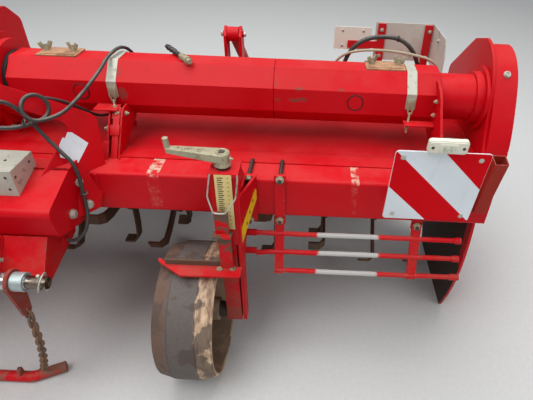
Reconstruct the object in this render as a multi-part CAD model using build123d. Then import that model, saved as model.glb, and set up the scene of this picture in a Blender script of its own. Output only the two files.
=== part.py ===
from build123d import *
import math
import os

# Ridging rotary tiller for four rows, as it parks: on two depth wheels, two side plates and the
# ridging body. X runs along the rotor, Y from the hitch to the rear, Z up, all in millimetres.
# The ground is Z = 0, and the origin is below the middle of the machine's outline.

# Rows and ridges
ROWS = 4
ROW_PITCH = 900.0
RIDGE_CENTRES = [ROW_PITCH * (i - (ROWS - 1) / 2) for i in range(ROWS)]

# Frame
SPAN = 1880.0              # centre plane to the inner face of a side plate
TUBE = 150.0               # main tube, square
TUBE_WALL = 8.0
TUBE_Y = -571.0
TUBE_Z = 679.0
TUBE_ROUND = 12.0
TUBE_FRONT = TUBE_Y - TUBE / 2
TUBE_REAR = TUBE_Y + TUBE / 2
TUBE_TOP = TUBE_Z + TUBE / 2
TUBE_LOW = TUBE_Z - TUBE / 2
SIDE_T = 12.0              # side plate
CASE_T = 80.0              # gear case outside the side plate
SHEET = 6.0                # hood sheet
HOOD_TOP = 742.0
HOOD_REAR = 140.0
BEAM = 80.0                # rear beam, square
BEAM_WALL = 5.0

# Drive line
DRIVE_Y = -291.0
DRIVE_Z = 921.0
DRIVE_R = 82.5             # round shaft tube
DRIVE_WALL = 6.0
COVER_AF = 200.0           # octagonal cover, across flats
COVER_WALL = 4.0
COVER_IN = 200.0           # cover ends, from the centre plane
COVER_SEAM = 1129.0
COVER_OUT = SPAN - 169.0
SEAM_GAP = 1.0
GEARBOX_HALF = 150.0
FLANGE_T = 35.0
FLANGE_R = 140.0
INPUT_Z = 880.0
INPUT_R = 22.2
INPUT_LENGTH = 90.0
GEARBOX_FRONT = -370.0
GEARBOX_REAR = -120.0
GEARBOX_TOP = 1150.0

# Rotor
ROTOR_Y = -170.0
ROTOR_Z = 375.0
ROTOR_R = 310.0            # tips of the tines
ROTOR_TUBE_R = 70.0
ROTOR_END_GAP = 12.0
JOURNAL_R = 30.0
TINE_FLANGE_R = 115.0
TINE_FLANGE_T = 12.0
TINE_PITCH = 225.0
TINES_PER_FLANGE = 4
TINE_STEP = 27.0           # each flange is turned on from the last by this many degrees

# Hitch
HITCH_Y = -1002.0
HITCH_Z = 609.0
PIN_R = 18.3               # category 3 lower link pin
PIN_END = 543.0
PIN_SHOULDER = 482.5
PIN_SEAT_R = 20.0          # thicker seat of the pin under its collar
HITCH_BAR_R = 25.0
HITCH_BAR_END = 436.0
TOP_PIN_R = 16.0
TOP_PIN_Y = -915.0
TOP_PIN_Z = 1300.0
EAR_IN = 30.0
EAR_T = 18.0
BEAM_HALF = 520.0          # headstock beam

# Depth wheels
WHEEL_X = 878.0
WHEEL_Y = -766.0
WHEEL_R = 250.0
WHEEL_W = 194.0
TREAD_BAND = 45.0          # half width of the flat middle band of the tyre
TREAD_FALL = 14.0          # its sides fall by this much to the edges
TYRE_T = 20.0
RIM_T = 6.0
AXLE_R = 20.0
LEG_X = 1015.0
LEG_Y = WHEEL_Y
LEG = 54.0
LEG_WALL = 5.0
GUIDE = 66.0
GUIDE_TOP = 870.0
GUIDE_LOW = 600.0
LEG_TOP = 772.0
LEG_LOW = 225.0
SCRAPER_Z = WHEEL_R + 256.0
SCRAPER_T = 8.0

# Ridging body
HINGE_Y = 185.0
HINGE_Z = 760.0
HINGE_PIN_R = 14.0
RIDGE_FRONT = 200.0
RIDGE_REAR = 1030.0
RIDGE_SHEET = 8.0
RIDGE_BASE = 400.0         # half width of a ridge at the ground
RIDGE_CROWN_FRONT = 170.0  # half width of its crown
RIDGE_CROWN_REAR = 130.0
RIDGE_HIGH_FRONT = 470.0
RIDGE_HIGH_REAR = 300.0
RIDGE_LIP = 100.0
RIDGE_HALF = RIDGE_CENTRES[-1] + RIDGE_BASE + RIDGE_LIP
ARM_XS = RIDGE_CENTRES
ARM_T = 20.0
FRONT_BAR = 80.0
FRONT_BAR_Y = 240.0
REAR_BAR = 60.0
REAR_BAR_Y = 800.0
STAY_X = 915.0
STAY_TOP = (100.0, 1000.0)
STAY_END = (830.0, 460.0)
STAY_PIN_R = 12.0
STAY_SLEEVE_R = 23.0
STAY_ROD_R = 18.0

# Cables and hoses: the points of each route
ARM_OUT = 480.0            # outer face of a lower link arm
HOSE_BOARD_X = 128.0       # outer face of the board on the mast that they start from
GLAND_R = 12.0
CABLE_D = 14.0
HOSE_D = 10.0
CONDUIT_D = 16.0
LAMP_CABLE = [(HOSE_BOARD_X, -745, 1030), (178, -745, 1030), (245, -756, 1007), (315, -764, 977),
              (385, -748, 952), (433, -724, 945), (482, -661, 945), (494, -636, 972),
              (486, -629, 1009), (464, -647, 1036), (442, -679, 1037), (433, -707, 1012),
              (444, -716, 976), (469, -701, 950), (512, -645, 953), (524, -600, 966),
              (530, -535, 975), (536, -465, 990), (546, -402, 1010), (552, -360, 1030),
              (559, -318, 1041), (566, -258, 1042), (576, -214, 1024), (586, -178, 978),
              (592, -168, 925), (600, -166, 865), (608, -158, 812), (630, -135, 780),
              (670, -100, 759), (725, -70, 752), (790, -45, 756), (845, -25, 771),
              (870, 10, 780), (870, 44, 780)]
SIDE_CABLE = [(HOSE_BOARD_X, -730, 1062), (180, -730, 1062), (240, -765, 1048), (300, -786, 1024),
              (350, -760, 1022), (390, -705, 1026), (420, -688, 986), (437, -684, 954),
              (460, -681, 906), (497, -683, 850), (528, -687, 812), (538, -694, 762),
              (538, -703, 706), (545, -718, 652), (546, -742, 614), (537, -768, 586),
              (516, -785, 575), (490, -785, 575)]
PALE_HOSE = [(HOSE_BOARD_X, -718, 1028), (178, -718, 1028), (235, -655, 1010), (295, -580, 978),
             (350, -525, 955), (400, -490, 938), (440, -455, 905), (465, -420, 865),
             (485, -380, 825), (515, -340, 815), (545, -290, 812), (560, -266, 790),
             (560, -266, 756)]
CONDUIT = [(1385, -120, 756), (1385, -120, 826), (1386, -154, 902), (1398, -178, 972),
           (1422, -190, 1037), (1460, -188, 1083), (1520, -192, 1099), (1578, -188, 1092),
           (1622, -190, 1062), (1654, -182, 1012), (1676, -165, 948), (1690, -142, 880),
           (1698, -120, 816), (1698, -120, 756)]
TOP_HOSE = [(1320, -140, 756), (1320, -140, 828), (1321, -152, 902), (1335, -168, 975),
            (1372, -196, 1030), (1433, -213, 1052), (1502, -217, 1057), (1571, -213, 1052),
            (1641, -218, 1043), (1699, -222, 1030), (1735, -205, 990), (1746, -172, 920),
            (1745, -140, 842), (1745, -140, 756)]
HOOD_EXITS = [PALE_HOSE[-1], CONDUIT[0], CONDUIT[-1], TOP_HOSE[0], TOP_HOSE[-1]]

RUN_GAP = 0.1              # shaft in a bore
SEAT_GAP = 0.3             # pieces that lie close


def block(x0, x1, y0, y1, z0, z1):
    return Pos((x0 + x1) / 2, (y0 + y1) / 2, (z0 + z1) / 2) * Box(x1 - x0, y1 - y0, z1 - z0)


def plate_x(points, x0, x1, rounds=()):
    """A plate across X from an outline in Y and Z; rounds pairs a corner's number with a radius."""
    face = make_face(Polyline(*points, close=True))
    for corner, radius in rounds:
        spot = Vector(*points[corner])
        nearest = face.vertices().sort_by_distance(spot)[0]
        face = fillet(nearest, radius)
    return extrude(Plane.YZ.offset(x0) * face, x1 - x0)


def rod(start, end, radius):
    axis = Vector(*end) - Vector(*start)
    return extrude(Plane(origin=start, z_dir=axis) * Circle(radius), axis.length)


def ring(start, end, radius, bore):
    axis = Vector(*end) - Vector(*start)
    return extrude(Plane(origin=start, z_dir=axis) * (Circle(radius) - Circle(bore)), axis.length)


def across(x0, x1, y, z, radius):
    return rod((x0, y, z), (x1, y, z), radius)


def mirrored(shape):
    return mirror(shape, about=Plane.YZ)


def save(name, *shapes):
    solids = [solid for shape in shapes for solid in shape.solids()]
    export_step(Compound(solids), f"parts/{name}.step")


def save_pair(name, *shapes):
    save(name, *shapes, *[mirrored(shape) for shape in shapes])


def hollow_section(x0, x1, y0, z0, size, wall, corner):
    face = RectangleRounded(size, size, corner) - RectangleRounded(
        size - 2 * wall, size - 2 * wall, max(corner - wall, 1.0))
    return extrude(Plane.YZ.offset(x0) * Pos(y0 + size / 2, z0 + size / 2) * face, x1 - x0)


os.makedirs("parts", exist_ok=True)

# Main tube
save("main_tube", hollow_section(-SPAN, SPAN, TUBE_FRONT, TUBE_LOW, TUBE, TUBE_WALL, TUBE_ROUND))

# Headstock gussets: one slanted plate a side, from the main tube to the top link mast
GUSSET_FOOT = Vector(558, TUBE_FRONT, TUBE_Z)      # where its inner face meets the tube's front
GUSSET_N = Vector(0.742, -0.592, 0.314)
GUSSET_T = 10.0
GUSSET_TOP = TOP_PIN_Z - 38
# Corners in X and Z, each with the radius of its round
GUSSET_OUTLINE = [(555, 903, 40), (575, 735, 20), (560, 629, 15), (500, 629, 30), (439, 787, 14),
                  (505, 898, 30), (84, GUSSET_TOP, 0), (141, GUSSET_TOP, 0)]


def on_gusset(x, z):
    fall = GUSSET_N.X * (x - GUSSET_FOOT.X) + GUSSET_N.Z * (z - GUSSET_FOOT.Z)
    return Vector(x, GUSSET_FOOT.Y - fall / GUSSET_N.Y, z)


gusset_face = make_face(Polyline(*[on_gusset(x, z) for x, z, _ in GUSSET_OUTLINE], close=True))
for x, z, radius in GUSSET_OUTLINE:
    if radius:
        corner = gusset_face.vertices().sort_by_distance(on_gusset(x, z))[0]
        gusset_face = fillet(corner, radius)
gusset = extrude(gusset_face, GUSSET_T, dir=GUSSET_N)
gusset = gusset - block(0, SPAN, TUBE_FRONT, TUBE_REAR, TUBE_LOW, TUBE_TOP)
before_gusset = extrude(gusset_face, 20 * GUSSET_T, dir=GUSSET_N)
save_pair("headstock_gussets", gusset)

# Headstock beam
BEAM_SECTION = [(TUBE_FRONT, 801), (-710, 801), (-872, 750), (-856, 649), (-708, 601),
                (TUBE_FRONT, TUBE_LOW)]
beam = plate_x(BEAM_SECTION, -BEAM_HALF, BEAM_HALF, [(2, 25), (3, 25)])
beam = beam - gusset - mirrored(gusset)
save("headstock_beam", beam)

# Top link mast: web, two ears and a pair of side plates back to the main tube
WEB_Y = TOP_PIN_Y + 35
WEB_T = 15.0
MAST_IN = 90.0
MAST_T = 12.0
web = block(-MAST_IN, MAST_IN, WEB_Y, WEB_Y + WEB_T, GUSSET_TOP - 70, TOP_PIN_Z + 30)
ear_points = [(WEB_Y, TOP_PIN_Z - 85), (WEB_Y, TOP_PIN_Z + 30), (TOP_PIN_Y - 30, TOP_PIN_Z + 45),
              (TOP_PIN_Y - 50, TOP_PIN_Z), (TOP_PIN_Y - 30, TOP_PIN_Z - 45)]
ear = plate_x(ear_points, EAR_IN, EAR_IN + EAR_T, [(2, 25), (3, 20), (4, 25)])
ear = ear - across(0, 100, TOP_PIN_Y, TOP_PIN_Z, TOP_PIN_R)
mast_points = [(TOP_PIN_Y + 20, TOP_PIN_Z + 30), (WEB_Y + WEB_T, TOP_PIN_Z + 30),
               (TUBE_REAR - 10, TUBE_TOP), (TUBE_FRONT + 50, TUBE_TOP),
               (WEB_Y - 20, GUSSET_TOP - 100), (TOP_PIN_Y - 40, GUSSET_TOP - 60),
               (TOP_PIN_Y - 20, GUSSET_TOP - 2), (TOP_PIN_Y + 20, GUSSET_TOP)]
mast_plate = plate_x(mast_points, MAST_IN, MAST_IN + MAST_T, [(1, 30), (4, 60)])
mast_plate = mast_plate - before_gusset
hose_board = block(MAST_IN + MAST_T, HOSE_BOARD_X, -775, -705, 1005, 1080)
mast_half = ear + mast_plate + hose_board
save("top_link_mast", web + mast_half + mirrored(mast_half))

# Lower link arms: a box a side under the beam and two cheeks that hold the hitch bar
ARM_BOX = [(-708, 601), (-715, 558), (-934, 512), (-945, 540), (-856, 649)]
CHEEK = [(-708, 601), (-715, 558), (-934, 512), (-1000, 555), (HITCH_Y - 52, 590),
         (HITCH_Y - 45, 650), (-960, 665), (-856, 649)]
arm_box = plate_x(ARM_BOX, 345, ARM_OUT)
cheeks = [plate_x(CHEEK, x, x + 15, [(3, 30), (4, 35), (5, 35)]) for x in (250, 330)]
bar_hole = across(200, 400, HITCH_Y, HITCH_Z, HITCH_BAR_R + RUN_GAP)
right_arm = (cheeks[1] + arm_box) - bar_hole
gland = across(ARM_OUT, SIDE_CABLE[-1][0], SIDE_CABLE[-1][1], SIDE_CABLE[-1][2], GLAND_R)
save("lower_link_arms", right_arm + gland, mirrored(right_arm), cheeks[0] - bar_hole,
     mirrored(cheeks[0] - bar_hole))

# Hitch bar with its two pin ends
hitch_bar = across(-HITCH_BAR_END, HITCH_BAR_END, HITCH_Y, HITCH_Z, HITCH_BAR_R)
hitch_bar += across(-PIN_SHOULDER, PIN_SHOULDER, HITCH_Y, HITCH_Z, PIN_SEAT_R)
hitch_bar += across(-PIN_END, PIN_END, HITCH_Y, HITCH_Z, PIN_R)
save("hitch_bar", hitch_bar)
collar_x = HITCH_BAR_END + 11
save_pair("link_collars", ring((collar_x, HITCH_Y, HITCH_Z), (PIN_SHOULDER, HITCH_Y, HITCH_Z),
                               28, PIN_SEAT_R + RUN_GAP))

# Chain plates, chains and the rest bar that lies on the ground
PEAR_T = 10.0
PEAR_HOLE_Z = 486.0
PEAR_HOLE_R = 10.0
pear_x = HITCH_BAR_END + 0.4
pear_face = make_hull([Pos(HITCH_Y, HITCH_Z) * e for e in Circle(36).edges()]
                      + [Pos(HITCH_Y, PEAR_HOLE_Z + 4) * e for e in Circle(20).edges()])
pear = extrude(Plane.YZ.offset(pear_x) * pear_face, PEAR_T)
pear = pear - across(400, 500, HITCH_Y, HITCH_Z, PIN_SEAT_R + RUN_GAP)
pear = pear - across(400, 500, HITCH_Y, PEAR_HOLE_Z, PEAR_HOLE_R)
save_pair("chain_plates", pear)

LINK_WIRE = 7.0
LINK_WIDTH = 27.0
LINK_GAP = 0.5
LINKS = 17
CHAIN_END = Vector(308, -915.7, 42.0)
chain_top = Vector(pear_x + PEAR_T / 2, HITCH_Y, PEAR_HOLE_Z - PEAR_HOLE_R + LINK_WIRE + 3)
chain_path = Bezier(chain_top, chain_top - Vector(0, 0, 140), CHAIN_END + Vector(64, -44, 109),
                    CHAIN_END)
link_pitch = (chain_path.length - 2 * LINK_WIRE) / LINKS
link_outer = link_pitch + 2 * LINK_WIRE - LINK_GAP
link_face = SlotOverall(link_outer, LINK_WIDTH) - SlotOverall(
    link_outer - 2 * LINK_WIRE, LINK_WIDTH - 2 * LINK_WIRE)
links = []
for i in range(LINKS):
    share = (LINK_WIRE + link_pitch * (i + 0.5)) / chain_path.length
    along = chain_path % share
    side = along.cross(Vector(0, 1, 0) if i % 2 else Vector(1, 0, 0))
    at = Plane(origin=chain_path @ share, x_dir=along, z_dir=side)
    links.append(extrude(at * link_face, LINK_WIRE / 2, both=True))
save_pair("chains", *links)

REST_R = 20.0
REST_BEND = 273.0
REST_END = (374.0, -883.0)
REST_Y = -933.0
rest_path = FilletPolyline((-REST_END[0], REST_END[1], REST_R), (-REST_BEND, REST_Y, REST_R),
                           (REST_BEND, REST_Y, REST_R), (REST_END[0], REST_END[1], REST_R), radius=60)
rest = sweep(Plane(origin=rest_path @ 0, z_dir=rest_path % 0) * Circle(REST_R), path=rest_path)
rest_lug = plate_x([(REST_Y - 14, 30), (REST_Y + 14, 30), (REST_Y + 10, 66), (REST_Y - 10, 66)],
                   231, 239)
save("rest_bar", rest + rest_lug + mirrored(rest_lug))

# Galvanised boxes on the headstock beam
BOX_SECTION = [(-814, 768.3), (-814, 855), (-695, 855), (-695, 801), (-710, 801)]
box_body = plate_x(BOX_SECTION, 255, 415)
save_pair("guard_boxes", box_body)

# Gearbox with its side flanges and the input cap
gearbox_points = [(GEARBOX_FRONT, HOOD_TOP), (GEARBOX_FRONT, 1080), (-310, GEARBOX_TOP),
                  (-190, GEARBOX_TOP), (GEARBOX_REAR, 1090), (GEARBOX_REAR, HOOD_TOP)]
gearbox = plate_x(gearbox_points, -GEARBOX_HALF, GEARBOX_HALF, [(1, 35), (2, 35), (3, 35), (4, 35)])
flange_end = GEARBOX_HALF + FLANGE_T
STEP_T = 12.0
drive_flange = across(GEARBOX_HALF, flange_end, DRIVE_Y, DRIVE_Z, FLANGE_R)
drive_flange += across(GEARBOX_HALF, GEARBOX_HALF + STEP_T, DRIVE_Y, DRIVE_Z, FLANGE_R + 22)
gearbox += drive_flange
gearbox += mirrored(drive_flange)
CAP_T = 15.0
gearbox += rod((0, GEARBOX_FRONT - CAP_T, INPUT_Z), (0, GEARBOX_FRONT + 10, INPUT_Z), 62)
gearbox += block(-100, 100, -300, -200, GEARBOX_TOP - 5, GEARBOX_TOP + 10)
gearbox += rod((60, -250, GEARBOX_TOP), (60, -250, GEARBOX_TOP + 24), 15)
gearbox += block(-GEARBOX_HALF - 20, GEARBOX_HALF + 20, GEARBOX_FRONT - 12, GEARBOX_REAR + 12,
                 HOOD_TOP, HOOD_TOP + 22)
for x in (-118, 118):
    gearbox += plate_x([(GEARBOX_FRONT + 5, 770), (GEARBOX_FRONT - 14, 790),
                        (GEARBOX_FRONT - 14, 1010), (GEARBOX_FRONT + 5, 1060)], x - 6, x + 6)
input_bore = rod((0, GEARBOX_FRONT - CAP_T - 1, INPUT_Z), (0, GEARBOX_FRONT + 80, INPUT_Z),
                 INPUT_R + RUN_GAP)
save("gearbox", gearbox - input_bore)
SPLINES = 6
SPLINE_ROOT = 18.6
SPLINE_W = 11.0
shaft_front = GEARBOX_FRONT - CAP_T - INPUT_LENGTH
teeth = [Rot(0, 0, 360 / SPLINES * i) * Pos(INPUT_R / 2, 0) * Rectangle(INPUT_R, SPLINE_W)
         for i in range(SPLINES)]
spline_face = (Circle(SPLINE_ROOT) + teeth) & Circle(INPUT_R)
spline = extrude(Plane(origin=(0, shaft_front, INPUT_Z), z_dir=(0, 1, 0)) * spline_face,
                 INPUT_LENGTH - 12)
save("input_shaft", spline + rod((0, GEARBOX_FRONT - CAP_T - 12, INPUT_Z),
                                 (0, GEARBOX_FRONT + 79, INPUT_Z), INPUT_R))
SHIELD_R = 95.0
SHIELD_LENGTH = 115.0
save("pto_shield", ring((0, GEARBOX_FRONT, INPUT_Z), (0, GEARBOX_FRONT - SHIELD_LENGTH, INPUT_Z),
                        SHIELD_R, SHIELD_R - 5))

# Drive tubes and their octagonal covers
drive_tube = ring((flange_end, DRIVE_Y, DRIVE_Z), (SPAN, DRIVE_Y, DRIVE_Z), DRIVE_R,
                  DRIVE_R - DRIVE_WALL)
drive_ring = ring((SPAN - 12, DRIVE_Y, DRIVE_Z), (SPAN, DRIVE_Y, DRIVE_Z), 114, DRIVE_R - 1)
drive_ring += ring((SPAN - 38, DRIVE_Y, DRIVE_Z), (SPAN, DRIVE_Y, DRIVE_Z), 94, DRIVE_R - 1)
save_pair("drive_tubes", drive_tube + drive_ring)


def octagon(across_flats):
    return Rotation(0, 0, 22.5) * RegularPolygon(across_flats / 2, 8, major_radius=False)


def octagon_prism(x0, x1, outer, inner=None):
    face = octagon(outer)
    if inner:
        face = face - octagon(inner)
    return extrude(Plane.YZ.offset(x0) * Pos(DRIVE_Y, DRIVE_Z) * face, x1 - x0)


cover_inner = COVER_AF - 2 * COVER_WALL
save_pair("cover_shells",
          octagon_prism(COVER_IN, COVER_SEAM - SEAM_GAP / 2, COVER_AF, cover_inner),
          octagon_prism(COVER_SEAM + SEAM_GAP / 2, COVER_OUT, COVER_AF, cover_inner))

STRAP_XS = [566.0, COVER_OUT - 100]
STRAP_W = 34.0
STRAP_T = 3.0
STRAP_END_Z = DRIVE_Z - 12
straps = []
for x in STRAP_XS:
    band = octagon_prism(x - STRAP_W / 2, x + STRAP_W / 2, COVER_AF + 2 * STRAP_T, COVER_AF)
    gap = block(x - STRAP_W, x + STRAP_W, DRIVE_Y - COVER_AF, DRIVE_Y + 60,
                DRIVE_Z - COVER_AF, STRAP_END_Z)
    straps.append(band - gap)
save_pair("cover_straps", *straps)

LID_XS = [362.0, COVER_OUT - 191]
lids = [block(x - 70, x + 70, DRIVE_Y - 38, DRIVE_Y + 46, DRIVE_Z + COVER_AF / 2,
              DRIVE_Z + COVER_AF / 2 + 6) for x in LID_XS]
save_pair("inspection_lids", *lids)

# Uprights from the main tube to the covers: a channel bracket inboard, a notched plate outboard
BRACKET_X = 588.0
BRACKET_W = 48.0
BRACKET_T = 6.0
END_PLATE_X = COVER_OUT - 13
END_PLATE_T = 8.0
cover_front = DRIVE_Y - COVER_AF / 2
cheek_points = [(TUBE_FRONT + 86, TUBE_TOP), (TUBE_REAR - 4, TUBE_TOP), (cover_front + 50, 816),
                (cover_front + 50, 850), (cover_front, 905), (cover_front - 40, 925),
                (cover_front - 84, 905)]
cheek = plate_x(cheek_points, BRACKET_X - BRACKET_W / 2, BRACKET_X - BRACKET_W / 2 + BRACKET_T,
                [(5, 10), (6, 14)])
bracket = cheek + Pos(BRACKET_W - BRACKET_T, 0, 0) * cheek
bracket += plate_x([(TUBE_FRONT + 86, TUBE_TOP), (TUBE_FRONT + 94, TUBE_TOP),
                    (cover_front - 76, 900), (cover_front - 84, 900)],
                   BRACKET_X - BRACKET_W / 2, BRACKET_X + BRACKET_W / 2)
bracket += plate_x([(cover_front - 78, 904), (cover_front - 44, 919), (cover_front - 41, 912),
                    (cover_front - 75, 897)], BRACKET_X - BRACKET_W / 2, BRACKET_X + BRACKET_W / 2)
bracket = bracket - octagon_prism(BRACKET_X - BRACKET_W, BRACKET_X + BRACKET_W, COVER_AF)
end_points = [(TUBE_FRONT + 40, TUBE_TOP), (TUBE_REAR - 4, TUBE_TOP), (cover_front + 40, 812),
              (cover_front + 40, 985), (cover_front + 18, 1008), (cover_front - 40, 992),
              (cover_front - 90, 945), (TUBE_FRONT + 60, 850)]
end_plate = plate_x(end_points, END_PLATE_X - END_PLATE_T / 2, END_PLATE_X + END_PLATE_T / 2,
                    [(4, 16), (5, 20), (6, 30), (7, 40)])
for z in (DRIVE_Z - 22, DRIVE_Z + 28):
    end_plate = end_plate - across(END_PLATE_X - 20, END_PLATE_X + 20, cover_front - 8, z, 15)
end_plate = end_plate - octagon_prism(END_PLATE_X - 20, END_PLATE_X + 20, COVER_AF)
end_plate += block(STRAP_XS[1] - 20, END_PLATE_X, cover_front - 55, cover_front - 15, 866, 872)
save_pair("cover_uprights", bracket, end_plate)

# Hood over the rotor
HOOD_LINE = [(TUBE_REAR, 716), (-440, HOOD_TOP), (60, HOOD_TOP), (HOOD_REAR, HOOD_TOP),
             (HOOD_REAR, 640), (HOOD_REAR - SHEET, 640), (HOOD_REAR - SHEET, HOOD_TOP - SHEET),
             (-438, HOOD_TOP - SHEET), (TUBE_REAR, 709)]
hood = plate_x(HOOD_LINE, -SPAN, SPAN)
for x, y, z in HOOD_EXITS:
    hood += rod((x, y, HOOD_TOP), (x, y, z), GLAND_R)
save("hood", hood)

# Rear beam with the hinge lugs of the ridging body
rear_beam = hollow_section(-SPAN, SPAN, HOOD_REAR - BEAM, HOOD_TOP, BEAM, BEAM_WALL, 8)
LUG_T = 10.0
lug_points = [(HOOD_REAR, 742), (HOOD_REAR, 815), (190, 795), (215, 770), (215, 745), (190, 728),
              (165, 728)]
lugs = []
for x in ARM_XS:
    for side in (-1, 1):
        inner = x + side * (ARM_T / 2 + 1)
        outer = inner + side * LUG_T
        lug = plate_x(lug_points, min(inner, outer), max(inner, outer))
        lugs.append(lug)
    pin = across(x - 25, x + 25, HINGE_Y, HINGE_Z, HINGE_PIN_R)
    lugs.append(pin)
for piece in lugs:
    rear_beam += piece
rear_beam += rod((LAMP_CABLE[-1][0], HOOD_REAR - BEAM, LAMP_CABLE[-1][2]), LAMP_CABLE[-1], GLAND_R)
save("rear_beam", rear_beam)

# Side plates and gear cases: a swept front edge, a round top and a straight foot on the ground
SIDE_FRONT = [(-216, 1116), (-300, 1092), (-368, 1022), (-412, 900), (-458, 782), (-530, 640),
              (-566, 462), (-556, 250), (-477, 0)]
SIDE_REAR = [(-477, 0), (-40, 0), (70, 180), (138, 460), (150, 890), (-104, 1083), (-216, 1116)]
side_face = make_face([Spline(*SIDE_FRONT), Polyline(*SIDE_REAR)])
for corner, radius in ((1, 70), (2, 90), (3, 120), (4, 45), (5, 60)):
    nearest = side_face.vertices().sort_by_distance(Vector(*SIDE_REAR[corner]))[0]
    side_face = fillet(nearest, radius)
side = extrude(Plane.YZ.offset(SPAN) * side_face, SIDE_T)
side = side - across(SPAN - 5, SPAN + SIDE_T + 5, ROTOR_Y, ROTOR_Z, JOURNAL_R + RUN_GAP)
save_pair("side_plates", side)
CASE_FRONT = [(-200, 1092), (-285, 1080), (-350, 1033), (-402, 950), (-446, 850), (-462, 760),
              (-420, 640), (-330, 520)]
CASE_REAR = [(-330, 520), (-290, 330), (-170, 250), (-50, 330), (-10, 600), (95, 860),
             (60, 930), (-110, 1055), (-200, 1092)]
case_face = make_face([Spline(*CASE_FRONT), Polyline(*CASE_REAR)])
for corner, radius in ((1, 60), (2, 90), (3, 60), (4, 120), (5, 40), (6, 50), (7, 60)):
    nearest = case_face.vertices().sort_by_distance(Vector(*CASE_REAR[corner]))[0]
    case_face = fillet(nearest, radius)
case_in = SPAN + SIDE_T
CASE_JOINT_Z = 788.0
CASE_JOINT_T = 3.0
case = extrude(Plane.YZ.offset(case_in) * case_face, CASE_T)
case = case - block(case_in + CASE_T - 3, case_in + CASE_T + 5, -600, 200, CASE_JOINT_Z,
                    CASE_JOINT_Z + CASE_JOINT_T)
save_pair("gear_cases", case)

# Rotor
rotor_end = SPAN - ROTOR_END_GAP
rotor_shaft = ring((-rotor_end, ROTOR_Y, ROTOR_Z), (rotor_end, ROTOR_Y, ROTOR_Z), ROTOR_TUBE_R,
                   ROTOR_TUBE_R - 12)
journal = across(rotor_end - 20, SPAN + SIDE_T - 1, ROTOR_Y, ROTOR_Z, JOURNAL_R)
journal += across(rotor_end - 20, rotor_end, ROTOR_Y, ROTOR_Z, ROTOR_TUBE_R - 6)
rotor_shaft += journal
rotor_shaft += mirrored(journal)
save("rotor_shaft", rotor_shaft)

TINE_T = 10.0
TINE_ROOT = 80.0
TINE_FOOT = 70.0           # the foot's reach sideways
TINE_BEND = 22.0           # the bend between shank and foot
TINE_REACH = ROTOR_R - 6
# The blade's outline seen along the rotor: it sweeps back to the tip
TINE_SWEEP = [(-25, TINE_ROOT - 5), (25, TINE_ROOT - 5), (36, 220), (58, ROTOR_R), (10, ROTOR_R),
              (-14, 220)]


def tine(hand):
    """An L-shaped blade bent from flat bar, standing up from the rotor's axis."""
    top = TINE_REACH
    bent = [(0, TINE_ROOT), (TINE_T, TINE_ROOT), (TINE_T, top - TINE_T - TINE_BEND),
            (TINE_T + TINE_BEND - 8, top - TINE_T), (TINE_FOOT, top - TINE_T), (TINE_FOOT, top),
            (TINE_BEND, top), (0, top - TINE_BEND)]
    bar = extrude(Plane.XZ * make_face(Polyline(*[(hand * x, z) for x, z in bent], close=True)),
                  2 * TINE_FOOT, both=True)
    return bar & plate_x(TINE_SWEEP, -2 * TINE_FOOT, 2 * TINE_FOOT)


BLADES = {hand: tine(hand) for hand in (-1, 1)}


def tine_flange(x, turn, hand):
    disc = ring((x - TINE_FLANGE_T / 2, 0, 0), (x + TINE_FLANGE_T / 2, 0, 0), TINE_FLANGE_R,
                ROTOR_TUBE_R + RUN_GAP)
    blade = Pos(x + hand * TINE_FLANGE_T / 2, 0, 0) * BLADES[hand]
    for i in range(TINES_PER_FLANGE):
        disc += Rotation(turn + i * 360 / TINES_PER_FLANGE, 0, 0) * blade
    return Pos(0, ROTOR_Y, ROTOR_Z) * disc


flange_count = int(2 * (rotor_end - 60) // TINE_PITCH) + 1
flange_xs = [TINE_PITCH * (i - (flange_count - 1) / 2) for i in range(flange_count)]
save("rotor_tines", *[tine_flange(x, TINE_STEP * i, 1 if x < 0 else -1)
                      for i, x in enumerate(flange_xs)])

# Depth wheels: tyre, rim, leg, scraper, guide and crank
half = WHEEL_W / 2
tyre_in = WHEEL_R - TYRE_T
LIP = 5.0                  # the tyre laps round the rim's edges
tyre_points = [(-half, WHEEL_R - TREAD_FALL), (-TREAD_BAND, WHEEL_R), (TREAD_BAND, WHEEL_R),
               (half, WHEEL_R - TREAD_FALL), (half, tyre_in - LIP), (half - LIP, tyre_in - LIP),
               (half - LIP, tyre_in), (-half + LIP, tyre_in), (-half + LIP, tyre_in - LIP),
               (-half, tyre_in - LIP)]
tyre = revolve(make_face(Polyline(*tyre_points, close=True)), Axis.X)
tyre = Pos(WHEEL_X, WHEEL_Y, WHEEL_R) * tyre
DISC_X = -52.0             # the wheel's disc stands near the far edge, so the drum is open outboard
DISC_T = 6.0
HUB_R = 42.0
HUB_OUT = 80.0
HUB_IN = DISC_X - 22
rim_edge = half - LIP - SEAT_GAP
rim_out = tyre_in - SEAT_GAP
rim_points = [(-rim_edge, rim_out), (rim_edge, rim_out), (rim_edge, rim_out - RIM_T),
              (DISC_X + DISC_T, rim_out - RIM_T), (DISC_X + DISC_T, HUB_R), (HUB_OUT, HUB_R),
              (HUB_OUT, AXLE_R + RUN_GAP), (HUB_IN, AXLE_R + RUN_GAP), (HUB_IN, HUB_R),
              (DISC_X, HUB_R), (DISC_X, rim_out - RIM_T), (-rim_edge, rim_out - RIM_T)]
rim = Pos(WHEEL_X, WHEEL_Y, WHEEL_R) * revolve(make_face(Polyline(*rim_points, close=True)), Axis.X)

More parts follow.
